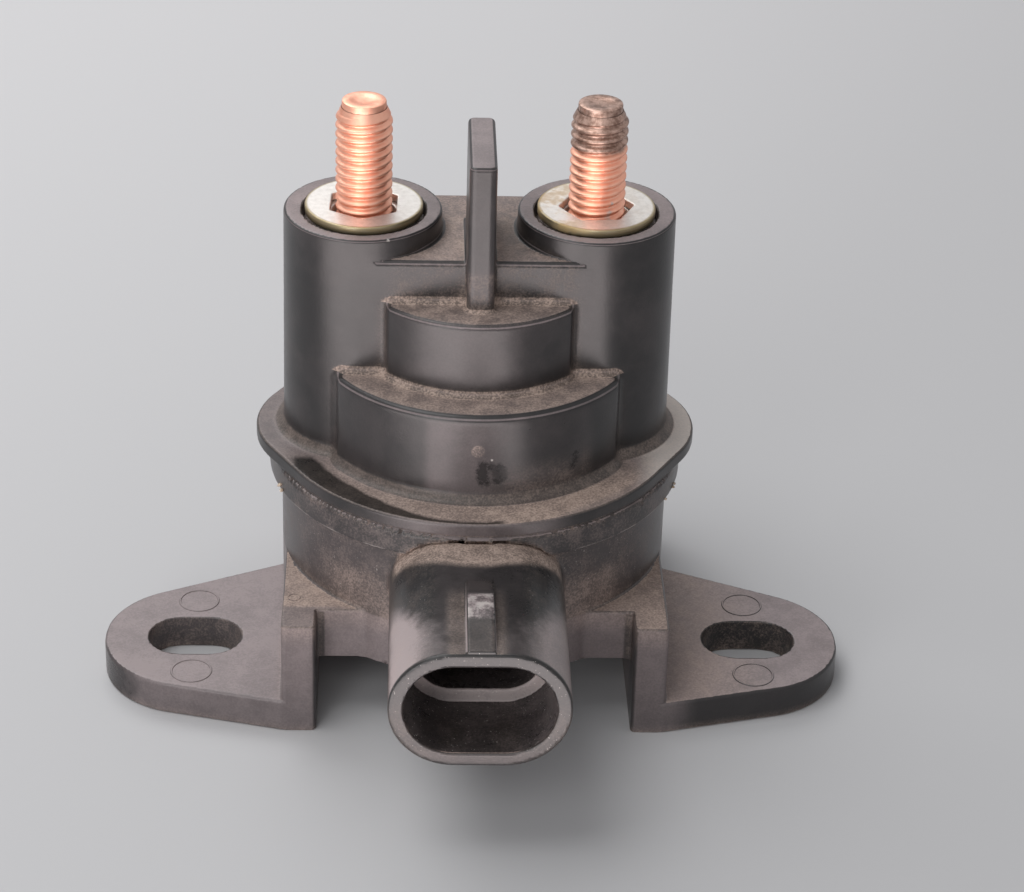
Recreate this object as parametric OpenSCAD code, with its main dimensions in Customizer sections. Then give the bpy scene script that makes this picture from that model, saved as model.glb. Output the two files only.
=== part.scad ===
// Sealed starter relay: moulded base with two slotted ears and a two-way
// connector, moulded terminal cap with a barrier fin, two copper studs and
// the solenoid contact mechanism inside. The origin is on the mounting
// plane, midway between the two slots. The connector points along -Y.

/* [Mounting ears] */
// Distance between the two slot centres
slot_spacing = 60; // [58:0.5:64]
// Length of each slot along X
slot_len = 10; // [8:0.5:11]
// Width of each slot along Y
slot_w = 7; // [6:0.1:8]
// Radius of each ear's end round its slot centre
ear_end_r = 9.7; // [8.5:0.1:11]
// Thickness of the ears
ear_t = 3.7; // [2.5:0.1:5]
// Distance of the slot line in front of the body axis
slot_line_ahead = 8; // [6:0.5:9]
// Where the ear's rear edge meets the skirt, behind the body axis
ear_rear = 7.4; // [5:0.2:10]

/* [Base frame] */
// Width across the two side skirts
frame_w = 40.4; // [40:0.2:41]
// Length of the side skirts, front to rear
frame_l = 41; // [40:0.5:44]
// Height of the side skirts above the mounting plane
skirt_h = 13; // [11:0.5:15]
// Thickness of each side skirt
skirt_t = 3.6; // [2.5:0.1:4.5]
// How far the front and rear walls stand back from the skirt ends
wall_back = 3.4; // [2:0.2:5]
// Clear height under the body between the skirts
under_gap = 7; // [5:0.5:8]

/* [Round body] */
// Outer diameter of the round body
body_d = 41.4; // [41:0.2:42]
// Height of the round body from its underside to its rim
body_h = 17.2; // [17:0.1:20]
// Wall of the round body
body_wall = 2.5; // [2:0.1:2.8]
// Thickness of the body's floor
floor_t = 2.2; // [1.6:0.1:3]

/* [Connector] */
// Outer width of the connector shroud
conn_w = 18; // [17:0.2:19]
// Outer height of the connector shroud
conn_h = 13; // [12:0.2:14]
// Wall of the connector shroud
conn_wall = 1.5; // [1.2:0.1:2]
// Distance of the connector mouth from the body axis
conn_reach = 42.1; // [38:0.5:46]
// Height of the connector axis above the mounting plane
conn_z = 17.5; // [17:0.1:18]
// Depth of the wide front cavity
front_depth = 9; // [7:0.5:11]
// Width of the narrow cavity behind it
key_w = 12.4; // [10:0.1:13]
// Height of the narrow cavity behind it
key_h = 7; // [5:0.1:7.5]
// Depth of the narrow cavity
key_depth = 11; // [9:0.5:12]
// Width of the lock nib on top
nib_w = 2.7; // [2:0.1:4]
// Rise of the lock nib above the shroud
nib_rise = 1.5; // [1:0.1:2]
// Length of the nib's level crest
nib_crest = 3.9; // [2:0.1:5]
// Length of the nib's ramp toward the mouth
nib_ramp = 4.6; // [3:0.1:6]
// Length of the nib's ramp toward the body
nib_back = 4.7; // [2:0.1:6]

/* [Terminal cap] */
// Diameter of the cap's flange at its front and rear
flange_d = 43.4; // [43:0.2:45]
// Reach of the flange outside each tower
lobe_reach = 3.4; // [2.6:0.1:4.4]
// Thickness of the flange's edge
band_t = 1.55; // [1.2:0.05:2.2]
// Thickness of the flange deck above the seal
deck_t = 1.3; // [1.1:0.1:2]
// Diameter of the skirt below the flange
cap_skirt_d = 44; // [43.6:0.2:46]
// Depth of the skirt below the deck
cap_skirt_h = 2.9; // [2:0.1:4]
// Rise of the lower ledge above the flange
lower_rise = 10; // [8.4:0.1:11]
// Radius of the lower ledge
lower_r = 17.2; // [16.5:0.1:18]
// Width between the side faces of the lower step
lower_w = 29.2; // [28:0.2:30]
// Rise of the upper ledge above the lower ledge
upper_rise = 8.2; // [6:0.1:10]
// Radius of the upper ledge
upper_r = 13.1; // [12:0.1:14]
// Width between the side faces of the upper step
upper_w = 19; // [17:0.2:21]
// Rise of the block between the towers above the upper ledge
block_rise = 4.6; // [3.5:0.1:6]
// Rise of the tower rims above the block
tower_rise = 2.2; // [1.8:0.1:3]
// Outer diameter of each terminal tower
tower_d = 16; // [15.6:0.1:16.8]
// Diameter of the washer recess in each tower
recess_d = 13.1; // [12.6:0.1:13.6]
// Depth of the washer recess
recess_depth = 1.5; // [1.2:0.1:2]
// Radius of the fillet at the foot of the cap
foot_fillet = 1.3; // [0.8:0.1:2.4]
// Radius of the contact chamber
chamber_r = 14.6; // [14.2:0.1:15]
// Radius of the chamber round each stud head
chamber_end_r = 6; // [5.8:0.1:6.4]
// Wall of the cap above the chamber
chamber_roof = 1.5; // [1.2:0.1:3]

/* [Moulded edges] */
// Rounding of the lower ledge's edge
lower_edge_r = 0.8; // [0.4:0.1:1.2]
// Rounding of the edges of the upper ledge and the block
upper_edge_r = 0.6; // [0.3:0.1:1]
// Rounding of the tower rims, flange edge, fin top and connector mouth
rim_edge_r = 0.3; // [0.2:0.05:0.4]
// Rounding of the skirts' upright edges
leg_edge_r = 0.5; // [0.3:0.1:0.8]

/* [Barrier fin] */
// Thickness of the fin
fin_t = 2.75; // [2:0.05:3.5]
// Rise of the fin above the block
fin_rise = 11.4; // [8:0.1:13]
// Reach of the fin in front of the block's face
fin_reach = 2.2; // [1:0.1:3]
// Where the fin ends behind the body axis
fin_rear = 2.6; // [1:0.1:8]
// Radius of the fin's upright edges
fin_edge_r = 0.7; // [0.3:0.1:1]

/* [Studs and washers] */
// Distance between the stud axes
stud_spacing = 24; // [23:0.5:25]
// Outer diameter of the stud
stud_d = 5.9; // [5:0.1:6.1]
// Diameter of the stud's plain shank, up to the top washer
shank_d = 6.4; // [6.3:0.05:6.5]
// Length of the stud above the tower rim
stud_out = 12.1; // [9:0.1:16]
// Diameter of the plain nose at the top
nose_d = 4.6; // [4:0.1:5]
// Length of the plain nose
nose_h = 0.8; // [0.4:0.1:1.5]
// Diameter of the stud head in the chamber
head_d = 10.8; // [10:0.1:11]
// Thickness of the stud head
head_t = 2; // [1.5:0.1:2.5]
// Radial clearance of the studs in the cap
stud_clear = 0.05; // [0.02:0.01:0.1]
// Diameter of the top washer
washer_d = 12; // [11.5:0.1:12.3]
// Thickness of the top washer
washer_t = 0.9; // [0.6:0.1:1.2]
// Distance across the corners of the washer's six-sided bore
washer_hex = 7.7; // [7.6:0.1:8.4]
// Diameter of the lower disc
disc_d = 10.8; // [10.2:0.1:11.4]
// Thickness of the lower disc
disc_t = 1.25; // [0.8:0.05:1.6]
// Section diameter of the stud's seal ring
ring_sec = 1.4; // [1.2:0.1:1.6]

/* [Magnet circuit] */
// Wall and floor thickness of the steel can
can_t = 1.2; // [0.8:0.1:1.4]
// Thickness of the pole plate
plate_t = 1.6; // [1.2:0.1:2]
// Diameter of the plunger and of the fixed core
core_d = 10.4; // [9.6:0.1:11]
// Diameter of the core's neck in the pole plate
neck_d = 8.4; // [7.6:0.1:9]
// Length of the plunger
plunger_l = 6; // [5:0.1:6.4]
// Stroke of the plunger
stroke = 2.4; // [2:0.1:2.6]
// Running clearance of the sliding pieces, on the radius
run_clear = 0.08; // [0.04:0.01:0.1]
// Diameter of the rod
rod_d = 3; // [2.6:0.1:3.2]
// Wall of the bobbin's tube
bobbin_wall = 0.9; // [0.7:0.1:1.2]
// Thickness of the bobbin's flanges
bobbin_flange = 1; // [0.8:0.1:1.2]
// Radial depth of the winding
winding_depth = 9.3; // [8:0.1:9.5]

/* [Contact bridge] */
// Length of the contact bridge
bridge_l = 31; // [29:0.5:32]
// Width of the contact bridge
bridge_w = 7; // [6:0.2:8]
// Thickness of the contact bridge
bridge_t = 1.6; // [1.2:0.1:1.8]
// Travel of the bridge to the stud heads
contact_gap = 1.7; // [1.4:0.1:1.9]
// Diameter of the insulators' flanges
bush_d = 6.8; // [6.4:0.1:7.4]
// Thickness of the insulators' flanges
bush_t = 0.6; // [0.4:0.1:0.8]
// Diameter of the insulators' sleeves
sleeve_d = 4.6; // [4.4:0.1:5]
// Thickness of the retaining clip
clip_t = 0.4; // [0.3:0.05:0.5]
// Diameter of the retaining clip
clip_d = 5.4; // [5:0.1:6]

/* [Springs] */
// Wire of the return spring
return_wire = 0.6; // [0.4:0.05:0.7]
// Wire of the contact spring
contact_wire = 0.4; // [0.3:0.05:0.45]
// Mean diameter of both springs
spring_d = 4.5; // [4.3:0.1:4.7]
// Turns of the return spring
return_turns = 4; // [3:0.5:5]
// Turns of the contact spring
contact_turns = 2; // [1.5:0.5:2]

/* [Coil terminals] */
// Width of each blade
blade_w = 2.3; // [1.8:0.1:2.6]
// Thickness of each blade
blade_t = 0.8; // [0.6:0.1:1]
// Distance between the blades
blade_pitch = 5.6; // [5.2:0.1:6]
// Length of each blade inside the narrow cavity
blade_out = 9.5; // [7:0.5:10]
// Diameter of the coil leads
lead_d = 0.6; // [0.4:0.05:0.8]

/* [Hidden] */
$fn = 96;
eps = 0.01;
seat = 0.1;
float_gap = 0.05;
notch_clear = 0.3;
ease_steps = 3;

// Body axis and base heights
axis_y = slot_line_ahead;
body_r = body_d / 2;
bore_r = body_r - body_wall;
floor_z = under_gap + floor_t;
rim_z = under_gap + body_h;
seal_t = 0.7;
deck_z = rim_z + seal_t;
flange_z = deck_z + deck_t;
front_y = frame_l / 2;
wall_y = front_y - wall_back;
skirt_x = frame_w / 2 - skirt_t;

// Cap heights
lower_z = flange_z + lower_rise;
upper_z = lower_z + upper_rise;
block_z = upper_z + block_rise;
tower_z = block_z + tower_rise;
fin_z = block_z + fin_rise;
recess_z = tower_z - recess_depth;
chamber_z = lower_z - chamber_roof;
washer_top = recess_z + disc_t + washer_t;
stud_x = stud_spacing / 2;
tower_r = tower_d / 2;
lobe_r = tower_r + lobe_reach;
fin_front = tower_r + fin_reach;
stud_top = tower_z + stud_out;
ring_r = shank_d / 2 + stud_clear + ring_sec / 2;
ring_pocket_r = ring_r + ring_sec / 2 + float_gap;
ring_pocket_h = ring_sec + seat;

// Magnet circuit heights
can_r = bore_r - 0.2;
plate_z = deck_z - seat - plate_t;
can_h = plate_z - floor_z;
can_floor = floor_z + can_t;
coil_z = can_floor + seat;
coil_h = plate_z - seat - coil_z;
core_r = core_d / 2;
tube_r = core_r + run_clear;
barrel_r = tube_r + bobbin_wall;
bobbin_r = can_r - can_t - 0.4;
winding_r = barrel_r + float_gap + winding_depth;
plunger_z = can_floor + 0.2;
plunger_top = plunger_z + plunger_l;
air_gap = stroke + seat;
core_z = plunger_top + air_gap;
rod_r = rod_d / 2;
spring_pocket_r = spring_d / 2 + return_wire / 2 + 0.3;
spring_pocket_h = 2;
rod_bottom = plunger_z + 1.5;

// Contact heights at rest
head_z = chamber_z - head_t;
bridge_top = head_z - float_gap - contact_gap;
bridge_z = bridge_top - bridge_t;
bush_z = bridge_z - bush_t;
clip_z = bridge_top + bush_t + float_gap;
rod_top = clip_z + clip_t + 0.6;
collar_t = 0.6;
collar_z = plate_z + plate_t + 0.7;
collar_d = spring_d + contact_wire + 0.6;
overtravel = stroke - contact_gap;
rod_pocket_r = clip_d / 2 + 0.6;
rod_pocket_z = rod_top + stroke + 0.5;

// Connector
nib_rear = conn_reach - 0.1 - nib_ramp - nib_crest;
cavity_back = conn_reach - front_depth - key_depth;
blade_tip = cavity_back + blade_out;
lead_y = winding_r + 0.1 + lead_d / 2 + 0.1;
blade_inner = lead_y + lead_d / 2;
lead_top = coil_z + coil_h - bobbin_flange - 0.9;
window_w = blade_pitch + blade_w + 2;
window_h = 4;

// Plane outline with two round ends along X
module obround(w, h) {
    square([w - h, h], center = true);
    for (s = [-1, 1])
        translate([s * (w - h) / 2, 0])
            circle(d = h);
}

// Rectangle with four rounded corners
module round_rect(w, l, r) {
    square([w - 2 * r, l], center = true);
    square([w, l - 2 * r], center = true);
    for (sx = [-1, 1], sy = [-1, 1])
        translate([sx * (w / 2 - r), sy * (l / 2 - r)])
            circle(r = r, $fn = 32);
}

// Prism on z = 0 whose top edge is rounded off by r
module eased(h, r) {
    linear_extrude(h - r)
        children();
    for (k = [1:ease_steps])
        linear_extrude(h - r * (1 - sin(90 * k / ease_steps)))
            offset(delta = -r * (1 - cos(90 * (k - 0.5) / ease_steps)))
                children();
}

// Convex plate on z = 0 round its children, with both edges bevelled by c
module bevelled_plate(h, c) {
    hull() {
        translate([0, 0, c])
            linear_extrude(h - 2 * c)
                children();
        linear_extrude(h)
            offset(delta = -c)
                children();
    }
}

// Flat ring standing on z = 0
module ring(ro, ri, h) {
    difference() {
        cylinder(r = ro, h = h);
        translate([0, 0, -1])
            cylinder(r = ri, h = h + 2);
    }
}

// Concave fillet round the foot of a cylinder
module foot_ring(r, f) {
    rotate_extrude()
        difference() {
            translate([r - 0.5, -0.2])
                square([f + 0.5, f + 0.2]);
            translate([r + f, f])
                circle(r = f);
        }
}

// Prism with the connector's outline, from y1 forward to y2
module conn_prism(w, h, y1, y2) {
    translate([0, -y1, conn_z])
        rotate([90, 0, 0])
            linear_extrude(y2 - y1)
                obround(w, h);
}

// Point where the line from p touches a circle round c, on side s
function touch(c, r, p, s) =
    let (d = p - c, n = norm(d), a = atan2(d[1], d[0]) + s * acos(r / n))
    c + r * [cos(a), sin(a)];

// Right ear as a plane outline round the body axis
module ear_outline() {
    c = [slot_spacing / 2, -slot_line_ahead];
    root_x = skirt_x + skirt_t / 2;
    front = [frame_w / 2, -front_y];
    rear = [frame_w / 2, ear_rear];
    difference() {
        union() {
            translate(c)
                circle(r = ear_end_r);
            polygon([
                [root_x, -front_y], front,
                touch(c, ear_end_r, front, 1), c,
                touch(c, ear_end_r, rear, -1), rear,
                [root_x, ear_rear]
            ]);
        }
        translate(c)
            obround(slot_len, slot_w);
    }
}

// Axial helix of round wire, from z = 0 to z = h
module coil(d, wire, h, turns) {
    sides = 6;
    steps = ceil(turns * 20);
    lift = (h - wire) / steps;
    pts = [for (i = [0:steps], j = [0:sides - 1])
        let (a = i * 360 * turns / steps, b = j * 360 / sides,
             q = d / 2 + wire / 2 * cos(b))
        [q * cos(a), q * sin(a), wire / 2 + i * lift + wire / 2 * sin(b)]];
    side = [for (i = [0:steps - 1], j = [0:sides - 1])
        let (k = (j + 1) % sides)
        [i * sides + j, (i + 1) * sides + j, (i + 1) * sides + k, i * sides + k]];
    first = [for (j = [0:sides - 1]) j];
    last = [for (j = [sides - 1:-1:0]) steps * sides + j];
    polyhedron(points = pts, faces = concat([first, last], side), convexity = 6);
}

module at_axis() {
    translate([0, axis_y, 0])
        children();
}

module nib() {
    top = conn_z + conn_h / 2;
    translate([-nib_w / 2, 0, 0])
        rotate([90, 0, 90])
            linear_extrude(nib_w)
                polygon([
                    [nib_back - nib_rear, top - 0.6],
                    [nib_back - nib_rear, top + 0.1],
                    [-nib_rear, top + nib_rise],
                    [-nib_rear - nib_crest, top + nib_rise],
                    [-conn_reach + 0.1, top + 0.3],
                    [-conn_reach + 0.1, top - 0.6]
                ]);
}

module housing_base() {
    color("dimgray")
        at_axis()
            difference() {
                union() {
                    translate([0, 0, under_gap])
                        cylinder(r = body_r, h = body_h);
                    translate([-frame_w / 2 + 1, -wall_y, under_gap])
                        cube([frame_w - 2, 2 * wall_y, skirt_h - under_gap]);
                    for (s = [0, 1])
                        mirror([s, 0, 0]) {
                            translate([skirt_x + skirt_t / 2, 0, 0])
                                linear_extrude(skirt_h)
                                    round_rect(skirt_t, frame_l, leg_edge_r);
                            linear_extrude(ear_t)
                                ear_outline();
                        }
                    translate([0, -bore_r - 0.6, conn_z])
                        rotate([90, 0, 0])
                            eased(conn_reach - bore_r - 0.6, rim_edge_r)
                                obround(conn_w, conn_h);
                    nib();
                }
                translate([0, 0, floor_z])
                    cylinder(r = bore_r, h = body_h);
                conn_prism(conn_w - 2 * conn_wall, conn_h - 2 * conn_wall,
                    conn_reach - front_depth, conn_reach + 1);
                conn_prism(key_w, key_h, cavity_back, conn_reach);
                for (s = [-1, 1])
                    blade(s);
            }
}

// Step of the cap up to height z: a round front and rear with flat sides
module step(r, w, z, edge) {
    translate([0, 0, flange_z - 0.5])
        eased(z - flange_z + 0.5, edge)
            intersection() {
                circle(r = r);
                square([w, 3 * r], center = true);
            }
}

module cap_outside() {
    translate([0, 0, deck_z - cap_skirt_h])
        cylinder(d = cap_skirt_d, h = flange_z - band_t - deck_z + cap_skirt_h);
    translate([0, 0, deck_z - cap_skirt_h])
        cylinder(d = flange_d - 2 * rim_edge_r, h = cap_skirt_h + deck_t / 2);
    translate([0, 0, flange_z - band_t])
        bevelled_plate(band_t, rim_edge_r) {
            circle(d = flange_d);
            for (s = [-1, 1])
                translate([s * stud_x, 0])
                    circle(r = lobe_r);
        }
    step(lower_r, lower_w, lower_z, lower_edge_r);
    step(upper_r, upper_w, upper_z, upper_edge_r);
    translate([0, 0, flange_z - 0.5])
        eased(block_z - flange_z + 0.5, upper_edge_r)
            obround(stud_spacing + tower_d, tower_d);
    for (s = [-1, 1])
        translate([s * stud_x, 0, upper_z])
            eased(tower_z - upper_z, rim_edge_r)
                circle(r = tower_r);
    translate([0, (fin_rear - fin_front) / 2, upper_z - 0.3])
        eased(fin_z - upper_z + 0.3, rim_edge_r)
            round_rect(fin_t, fin_rear + fin_front, fin_edge_r);
    intersection() {
        translate([0, 0, flange_z])
            foot_ring(lower_r, foot_fillet);
        translate([-lower_w / 2, -flange_d, flange_z - 1])
            cube([lower_w, 2 * flange_d, 2 * foot_fillet + 1]);
    }
    for (s = [-1, 1])
        translate([s * stud_x, 0, flange_z])
            foot_ring(tower_r, foot_fillet);
}

module terminal_cap() {
    color("dimgray")
        at_axis()
            difference() {
                cap_outside();
                translate([0, 0, deck_z - cap_skirt_h - 1])
                    cylinder(r = body_r + run_clear, h = cap_skirt_h + 1);
                translate([0, 0, deck_z - 1])
                    cylinder(r = chamber_r, h = chamber_z - deck_z + 1);
                translate([0, 0, deck_z - 1])
                    linear_extrude(chamber_z - deck_z + 1)
                        obround(stud_spacing + 2 * chamber_end_r, 2 * chamber_end_r);
                translate([0, 0, chamber_z - 1])
                    cylinder(r = rod_pocket_r, h = rod_pocket_z - chamber_z + 1);
                for (s = [-1, 1])
                    translate([s * stud_x, 0, 0]) {
                        translate([0, 0, chamber_z - 1])
                            cylinder(r = shank_d / 2 + stud_clear, h = tower_z);
                        translate([0, 0, recess_z - ring_pocket_h])
                            cylinder(r = ring_pocket_r, h = ring_pocket_h + 1);
                        translate([0, 0, recess_z])
                            cylinder(d = recess_d, h = recess_depth + 1);
                    }
                conn_prism(conn_w + 2 * notch_clear, conn_h + 2 * notch_clear,
                    body_r - 1, flange_d);
            }
}

module cap_seal() {
    color("black")
        at_axis()
            translate([0, 0, rim_z])
                ring(body_r - float_gap, bore_r + float_gap, seal_t);
}

module stud(s) {
    color("peru")
        at_axis()
            translate([s * stud_x, 0, 0]) {
                translate([0, 0, head_z])
                    cylinder(d = head_d, h = head_t);
                translate([0, 0, head_z])
                    cylinder(d = shank_d, h = washer_top + seat - head_z);
                translate([0, 0, head_z])
                    cylinder(d = stud_d, h = stud_top - nose_h - head_z);
                translate([0, 0, stud_top - nose_h - 0.5])
                    cylinder(d = nose_d, h = nose_h + 0.5);
            }
}

module disc(s) {
    color("silver")
        at_axis()
            translate([s * stud_x, 0, recess_z])
                ring(disc_d / 2, shank_d / 2 + seat, disc_t);
}

module washer(s) {
    color("silver")
        at_axis()
            translate([s * stud_x, 0, recess_z + disc_t])
                difference() {
                    cylinder(d = washer_d, h = washer_t);
                    translate([0, 0, -1])
                        cylinder(d = washer_hex, h = washer_t + 2, $fn = 6);
                }
}

module stud_seal(s) {
    color("black")
        at_axis()
            translate([s * stud_x, 0, recess_z - ring_pocket_h / 2])
                rotate_extrude()
                    translate([ring_r, 0])
                        circle(d = ring_sec, $fn = 48);
}

module yoke_can() {
    color("silver")
        at_axis()
            difference() {
                translate([0, 0, floor_z])
                    cylinder(r = can_r, h = can_h);
                translate([0, 0, can_floor])
                    cylinder(r = can_r - can_t, h = can_h);
                translate([-window_w / 2, -can_r - 1, conn_z - window_h / 2])
                    cube([window_w, can_t + 3, window_h]);
            }
}

module pole_plate() {
    color("silver")
        at_axis()
            translate([0, 0, plate_z])
                ring(can_r, neck_d / 2, plate_t);
}

module fixed_core() {
    color("silver")
        at_axis()
            difference() {
                union() {
                    translate([0, 0, core_z])
                        cylinder(r = core_r, h = plate_z - core_z);
                    translate([0, 0, core_z])
                        cylinder(d = neck_d, h = plate_z + plate_t - core_z);
                }
                translate([0, 0, core_z - 1])
                    cylinder(r = rod_r + run_clear, h = plate_z);
                translate([0, 0, core_z - 1])
                    cylinder(r = spring_pocket_r, h = spring_pocket_h + 1);
            }
}

module coil_bobbin() {
    color("ivory")
        at_axis()
            translate([0, 0, coil_z])
                difference() {
                    union() {
                        cylinder(r = barrel_r, h = coil_h);
                        cylinder(r = bobbin_r, h = bobbin_flange);
                        translate([0, 0, coil_h - bobbin_flange])
                            cylinder(r = bobbin_r, h = bobbin_flange);
                    }
                    translate([0, 0, -1])
                        cylinder(r = tube_r, h = coil_h + 2);
                }
}

module coil_winding() {
    color("chocolate")
        at_axis()
            translate([0, 0, coil_z + bobbin_flange + float_gap])
                ring(winding_r, barrel_r + float_gap,
                    coil_h - 2 * bobbin_flange - 2 * float_gap);
}

module plunger() {
    color("silver")
        at_axis()
            difference() {
                translate([0, 0, plunger_z])
                    cylinder(r = core_r, h = plunger_l);
                translate([0, 0, rod_bottom])
                    cylinder(r = rod_r, h = plunger_l);
                translate([0, 0, plunger_top - spring_pocket_h])
                    cylinder(r = spring_pocket_r, h = spring_pocket_h + 1);
            }
}

module plunger_rod() {
    color("gainsboro")
        at_axis() {
            translate([0, 0, rod_bottom])
                cylinder(r = rod_r, h = rod_top - rod_bottom);
            translate([0, 0, collar_z])
                cylinder(d = collar_d, h = collar_t);
        }
}

module return_spring() {
    low = plunger_top - spring_pocket_h + float_gap;
    high = core_z + spring_pocket_h - float_gap;
    color("lightsteelblue")
        at_axis()
            translate([0, 0, low])
                coil(spring_d, return_wire, high - low, return_turns);
}

module contact_bridge() {
    color("peru")
        at_axis()
            translate([0, 0, bridge_z])
                difference() {
                    translate([-bridge_l / 2, -bridge_w / 2, 0])
                        cube([bridge_l, bridge_w, bridge_t]);
                    translate([0, 0, -1])
                        cylinder(d = sleeve_d, h = bridge_t + 2);
                }
}

// Flanged sleeve with its flange at z = 0 and the sleeve above it
module bush(h) {
    difference() {
        union() {
            cylinder(d = bush_d, h = bush_t);
            cylinder(d = sleeve_d, h = bush_t + h);
        }
        translate([0, 0, -1])
            cylinder(r = rod_r + run_clear, h = bush_t + h + 2);
    }
}

module bridge_bush_lower() {
    color("wheat")
        at_axis()
            translate([0, 0, bush_z])
                bush(bridge_t / 2);
}

module bridge_bush_upper() {
    color("wheat")
        at_axis()
            translate([0, 0, bridge_top + bush_t])
                mirror([0, 0, 1])
                    bush(bridge_t / 2 - float_gap);
}

module contact_spring() {
    low = collar_z + collar_t + float_gap;
    color("lightsteelblue")
        at_axis()
            translate([0, 0, low])
                coil(spring_d, contact_wire, bush_z - float_gap - low, contact_turns);
}

module retaining_clip() {
    color("gray")
        at_axis()
            translate([0, 0, clip_z])
                ring(clip_d / 2, rod_r, clip_t);
}

module blade(s) {
    translate([s * blade_pitch / 2 - blade_w / 2, -blade_tip, conn_z - blade_t / 2])
        cube([blade_w, blade_tip - blade_inner, blade_t]);
}

module blade_terminal(s) {
    color("goldenrod")
        at_axis()
            blade(s);
}

module coil_lead(s) {
    color("chocolate")
        at_axis()
            translate([s * blade_pitch / 2, -lead_y, 0]) {
                translate([0, 0, conn_z - blade_t / 2])
                    cylinder(d = lead_d, h = lead_top - conn_z + blade_t / 2, $fn = 24);
                translate([0, 0, lead_top - lead_d / 2])
                    rotate([-90, 0, 0])
                        cylinder(d = lead_d, h = lead_d / 2 + 0.2, $fn = 24);
            }
}

housing_base();
terminal_cap();
cap_seal();
stud(-1);  // stud_left
stud(1);  // stud_right
washer(-1);  // washer_left
washer(1);  // washer_right
disc(-1);  // disc_left
disc(1);  // disc_right
stud_seal(-1);  // stud_seal_left
stud_seal(1);  // stud_seal_right
yoke_can();
pole_plate();
fixed_core();
coil_bobbin();
coil_winding();
plunger();
plunger_rod();
return_spring();
contact_bridge();
bridge_bush_lower();
bridge_bush_upper();
contact_spring();
retaining_clip();
blade_terminal(-1);  // blade_terminal_left
blade_terminal(1);  // blade_terminal_right
coil_lead(-1);  // coil_lead_left
coil_lead(1);  // coil_lead_right
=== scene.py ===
import bpy, bmesh, math
import numpy as np
from mathutils import Matrix, Vector


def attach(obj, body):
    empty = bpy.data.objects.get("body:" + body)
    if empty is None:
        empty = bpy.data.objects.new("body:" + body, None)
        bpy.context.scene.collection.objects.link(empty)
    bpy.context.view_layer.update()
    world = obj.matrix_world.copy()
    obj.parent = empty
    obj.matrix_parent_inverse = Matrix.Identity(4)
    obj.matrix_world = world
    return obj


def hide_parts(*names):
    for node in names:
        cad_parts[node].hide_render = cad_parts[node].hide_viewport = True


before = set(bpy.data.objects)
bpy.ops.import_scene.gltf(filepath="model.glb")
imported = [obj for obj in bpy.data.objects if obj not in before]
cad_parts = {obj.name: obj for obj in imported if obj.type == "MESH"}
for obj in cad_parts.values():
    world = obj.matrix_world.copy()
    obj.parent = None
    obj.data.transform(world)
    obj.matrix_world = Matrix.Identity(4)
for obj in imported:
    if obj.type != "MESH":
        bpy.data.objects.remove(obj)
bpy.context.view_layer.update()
SCENE = bpy.context.scene
MM = 0.001

# Camera, fitted to the photograph: place in mm, angles in degrees, focal length in pixels
CAMERA_AT = (-7.9, -276.6, 185.2)
CAMERA_DOWN, CAMERA_YAW, CAMERA_ROLL = 29.64, -2.40, 1.755
FOCAL, PHOTO_W, SENSOR_W = 3038.0, 1024, 36

# Strength of the world as light, and as what glossy surfaces and the camera see
WORLD_COLOR = (0.87, 0.87, 0.89, 1)
WORLD_DIFFUSE, WORLD_SEEN = 0.35, 0.66

# Area lamps: name, place and aim in mm, width and height in mm, watts, colour
LAMPS = (
    ("behind", (-190, 330, 480), (0, 8, 20), 450, 350, 1.35, (1, 1, 1)),
    ("over", (-170, -60, 450), (0, 0, 20), 250, 250, 0.72, (1, 1, 1)),
    ("front_high", (-90, -330, 300), (0, 0, 30), 220, 120, 0.25, (1, 1, 1)),
    ("front_left", (-190, -350, 95), (0, 0, 28), 150, 120, 0.36, (1, 1, 1)),
    ("card", (-40, -102, 3), (-40, -101, 60), 150, 110, 0.27, (1.0, 0.90, 0.89)))

# Sizes of the part in mm, as the solids have them. Plan distances are from the
# body axis, which lies AXIS_Y behind the line through the two slots.
AXIS_Y = 8.0
# Ears and slots
SLOT_X, SLOT_L, SLOT_W = 30.0, 10.0, 7.0
EAR_R, EAR_T, EAR_REAR = 9.7, 3.7, 7.4
# Base frame with its legs, and the round body
FRAME_X, SKIRT_IN, FRAME_Y, WALL_Y, SKIRT_H, UNDER = 20.2, 16.6, 20.5, 17.1, 13.0, 7.0
BODY_R, BORE_R, FLOOR_Z, RIM_Z = 20.7, 18.2, 9.2, 24.2
# Connector, the steps of its bore, and its lock nib
CONN_W, CONN_H, CONN_WALL, CONN_Z, MOUTH = 18.0, 13.0, 1.5, 17.5, 42.1
FRONT_DEPTH, KEY_W, KEY_H, KEY_DEPTH = 9.0, 12.4, 7.0, 11.0
NIB_W, NIB_RISE, NIB_REAR, NIB_CREST, NIB_BACK = 2.7, 1.5, 33.5, 3.9, 4.7
NIB_FRONT_RISE, NIB_BACK_RISE, NIB_SETBACK = 0.25, 0.1, 0.2
# Cap: flange with its collar, two ledges, block, towers and fin
DECK_Z, FLANGE_Z, BAND_T, FLANGE_R, LOBE_R = 24.9, 26.2, 1.55, 21.7, 11.4
COLLAR_R, COLLAR_Z, FOOT = 22.0, 22.0, 1.3
LOWER_Z, LOWER_R, LOWER_X = 36.2, 17.2, 14.6
UPPER_Z, UPPER_R, UPPER_X = 44.4, 13.1, 9.5
BLOCK_Z, TOWER_Z, STUD_X, RECESS_R, RECESS_Z = 49.0, 51.2, 12.0, 6.4, 49.7
TOWER_X, TOWER_Y, TOWER_R, TOWER_DRAFT = 12.1, 0.3, 8.2, 0.007
FIN_Z, FIN_T, FIN_FRONT, FIN_REAR = 60.4, 2.8, 10.2, 2.8
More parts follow.
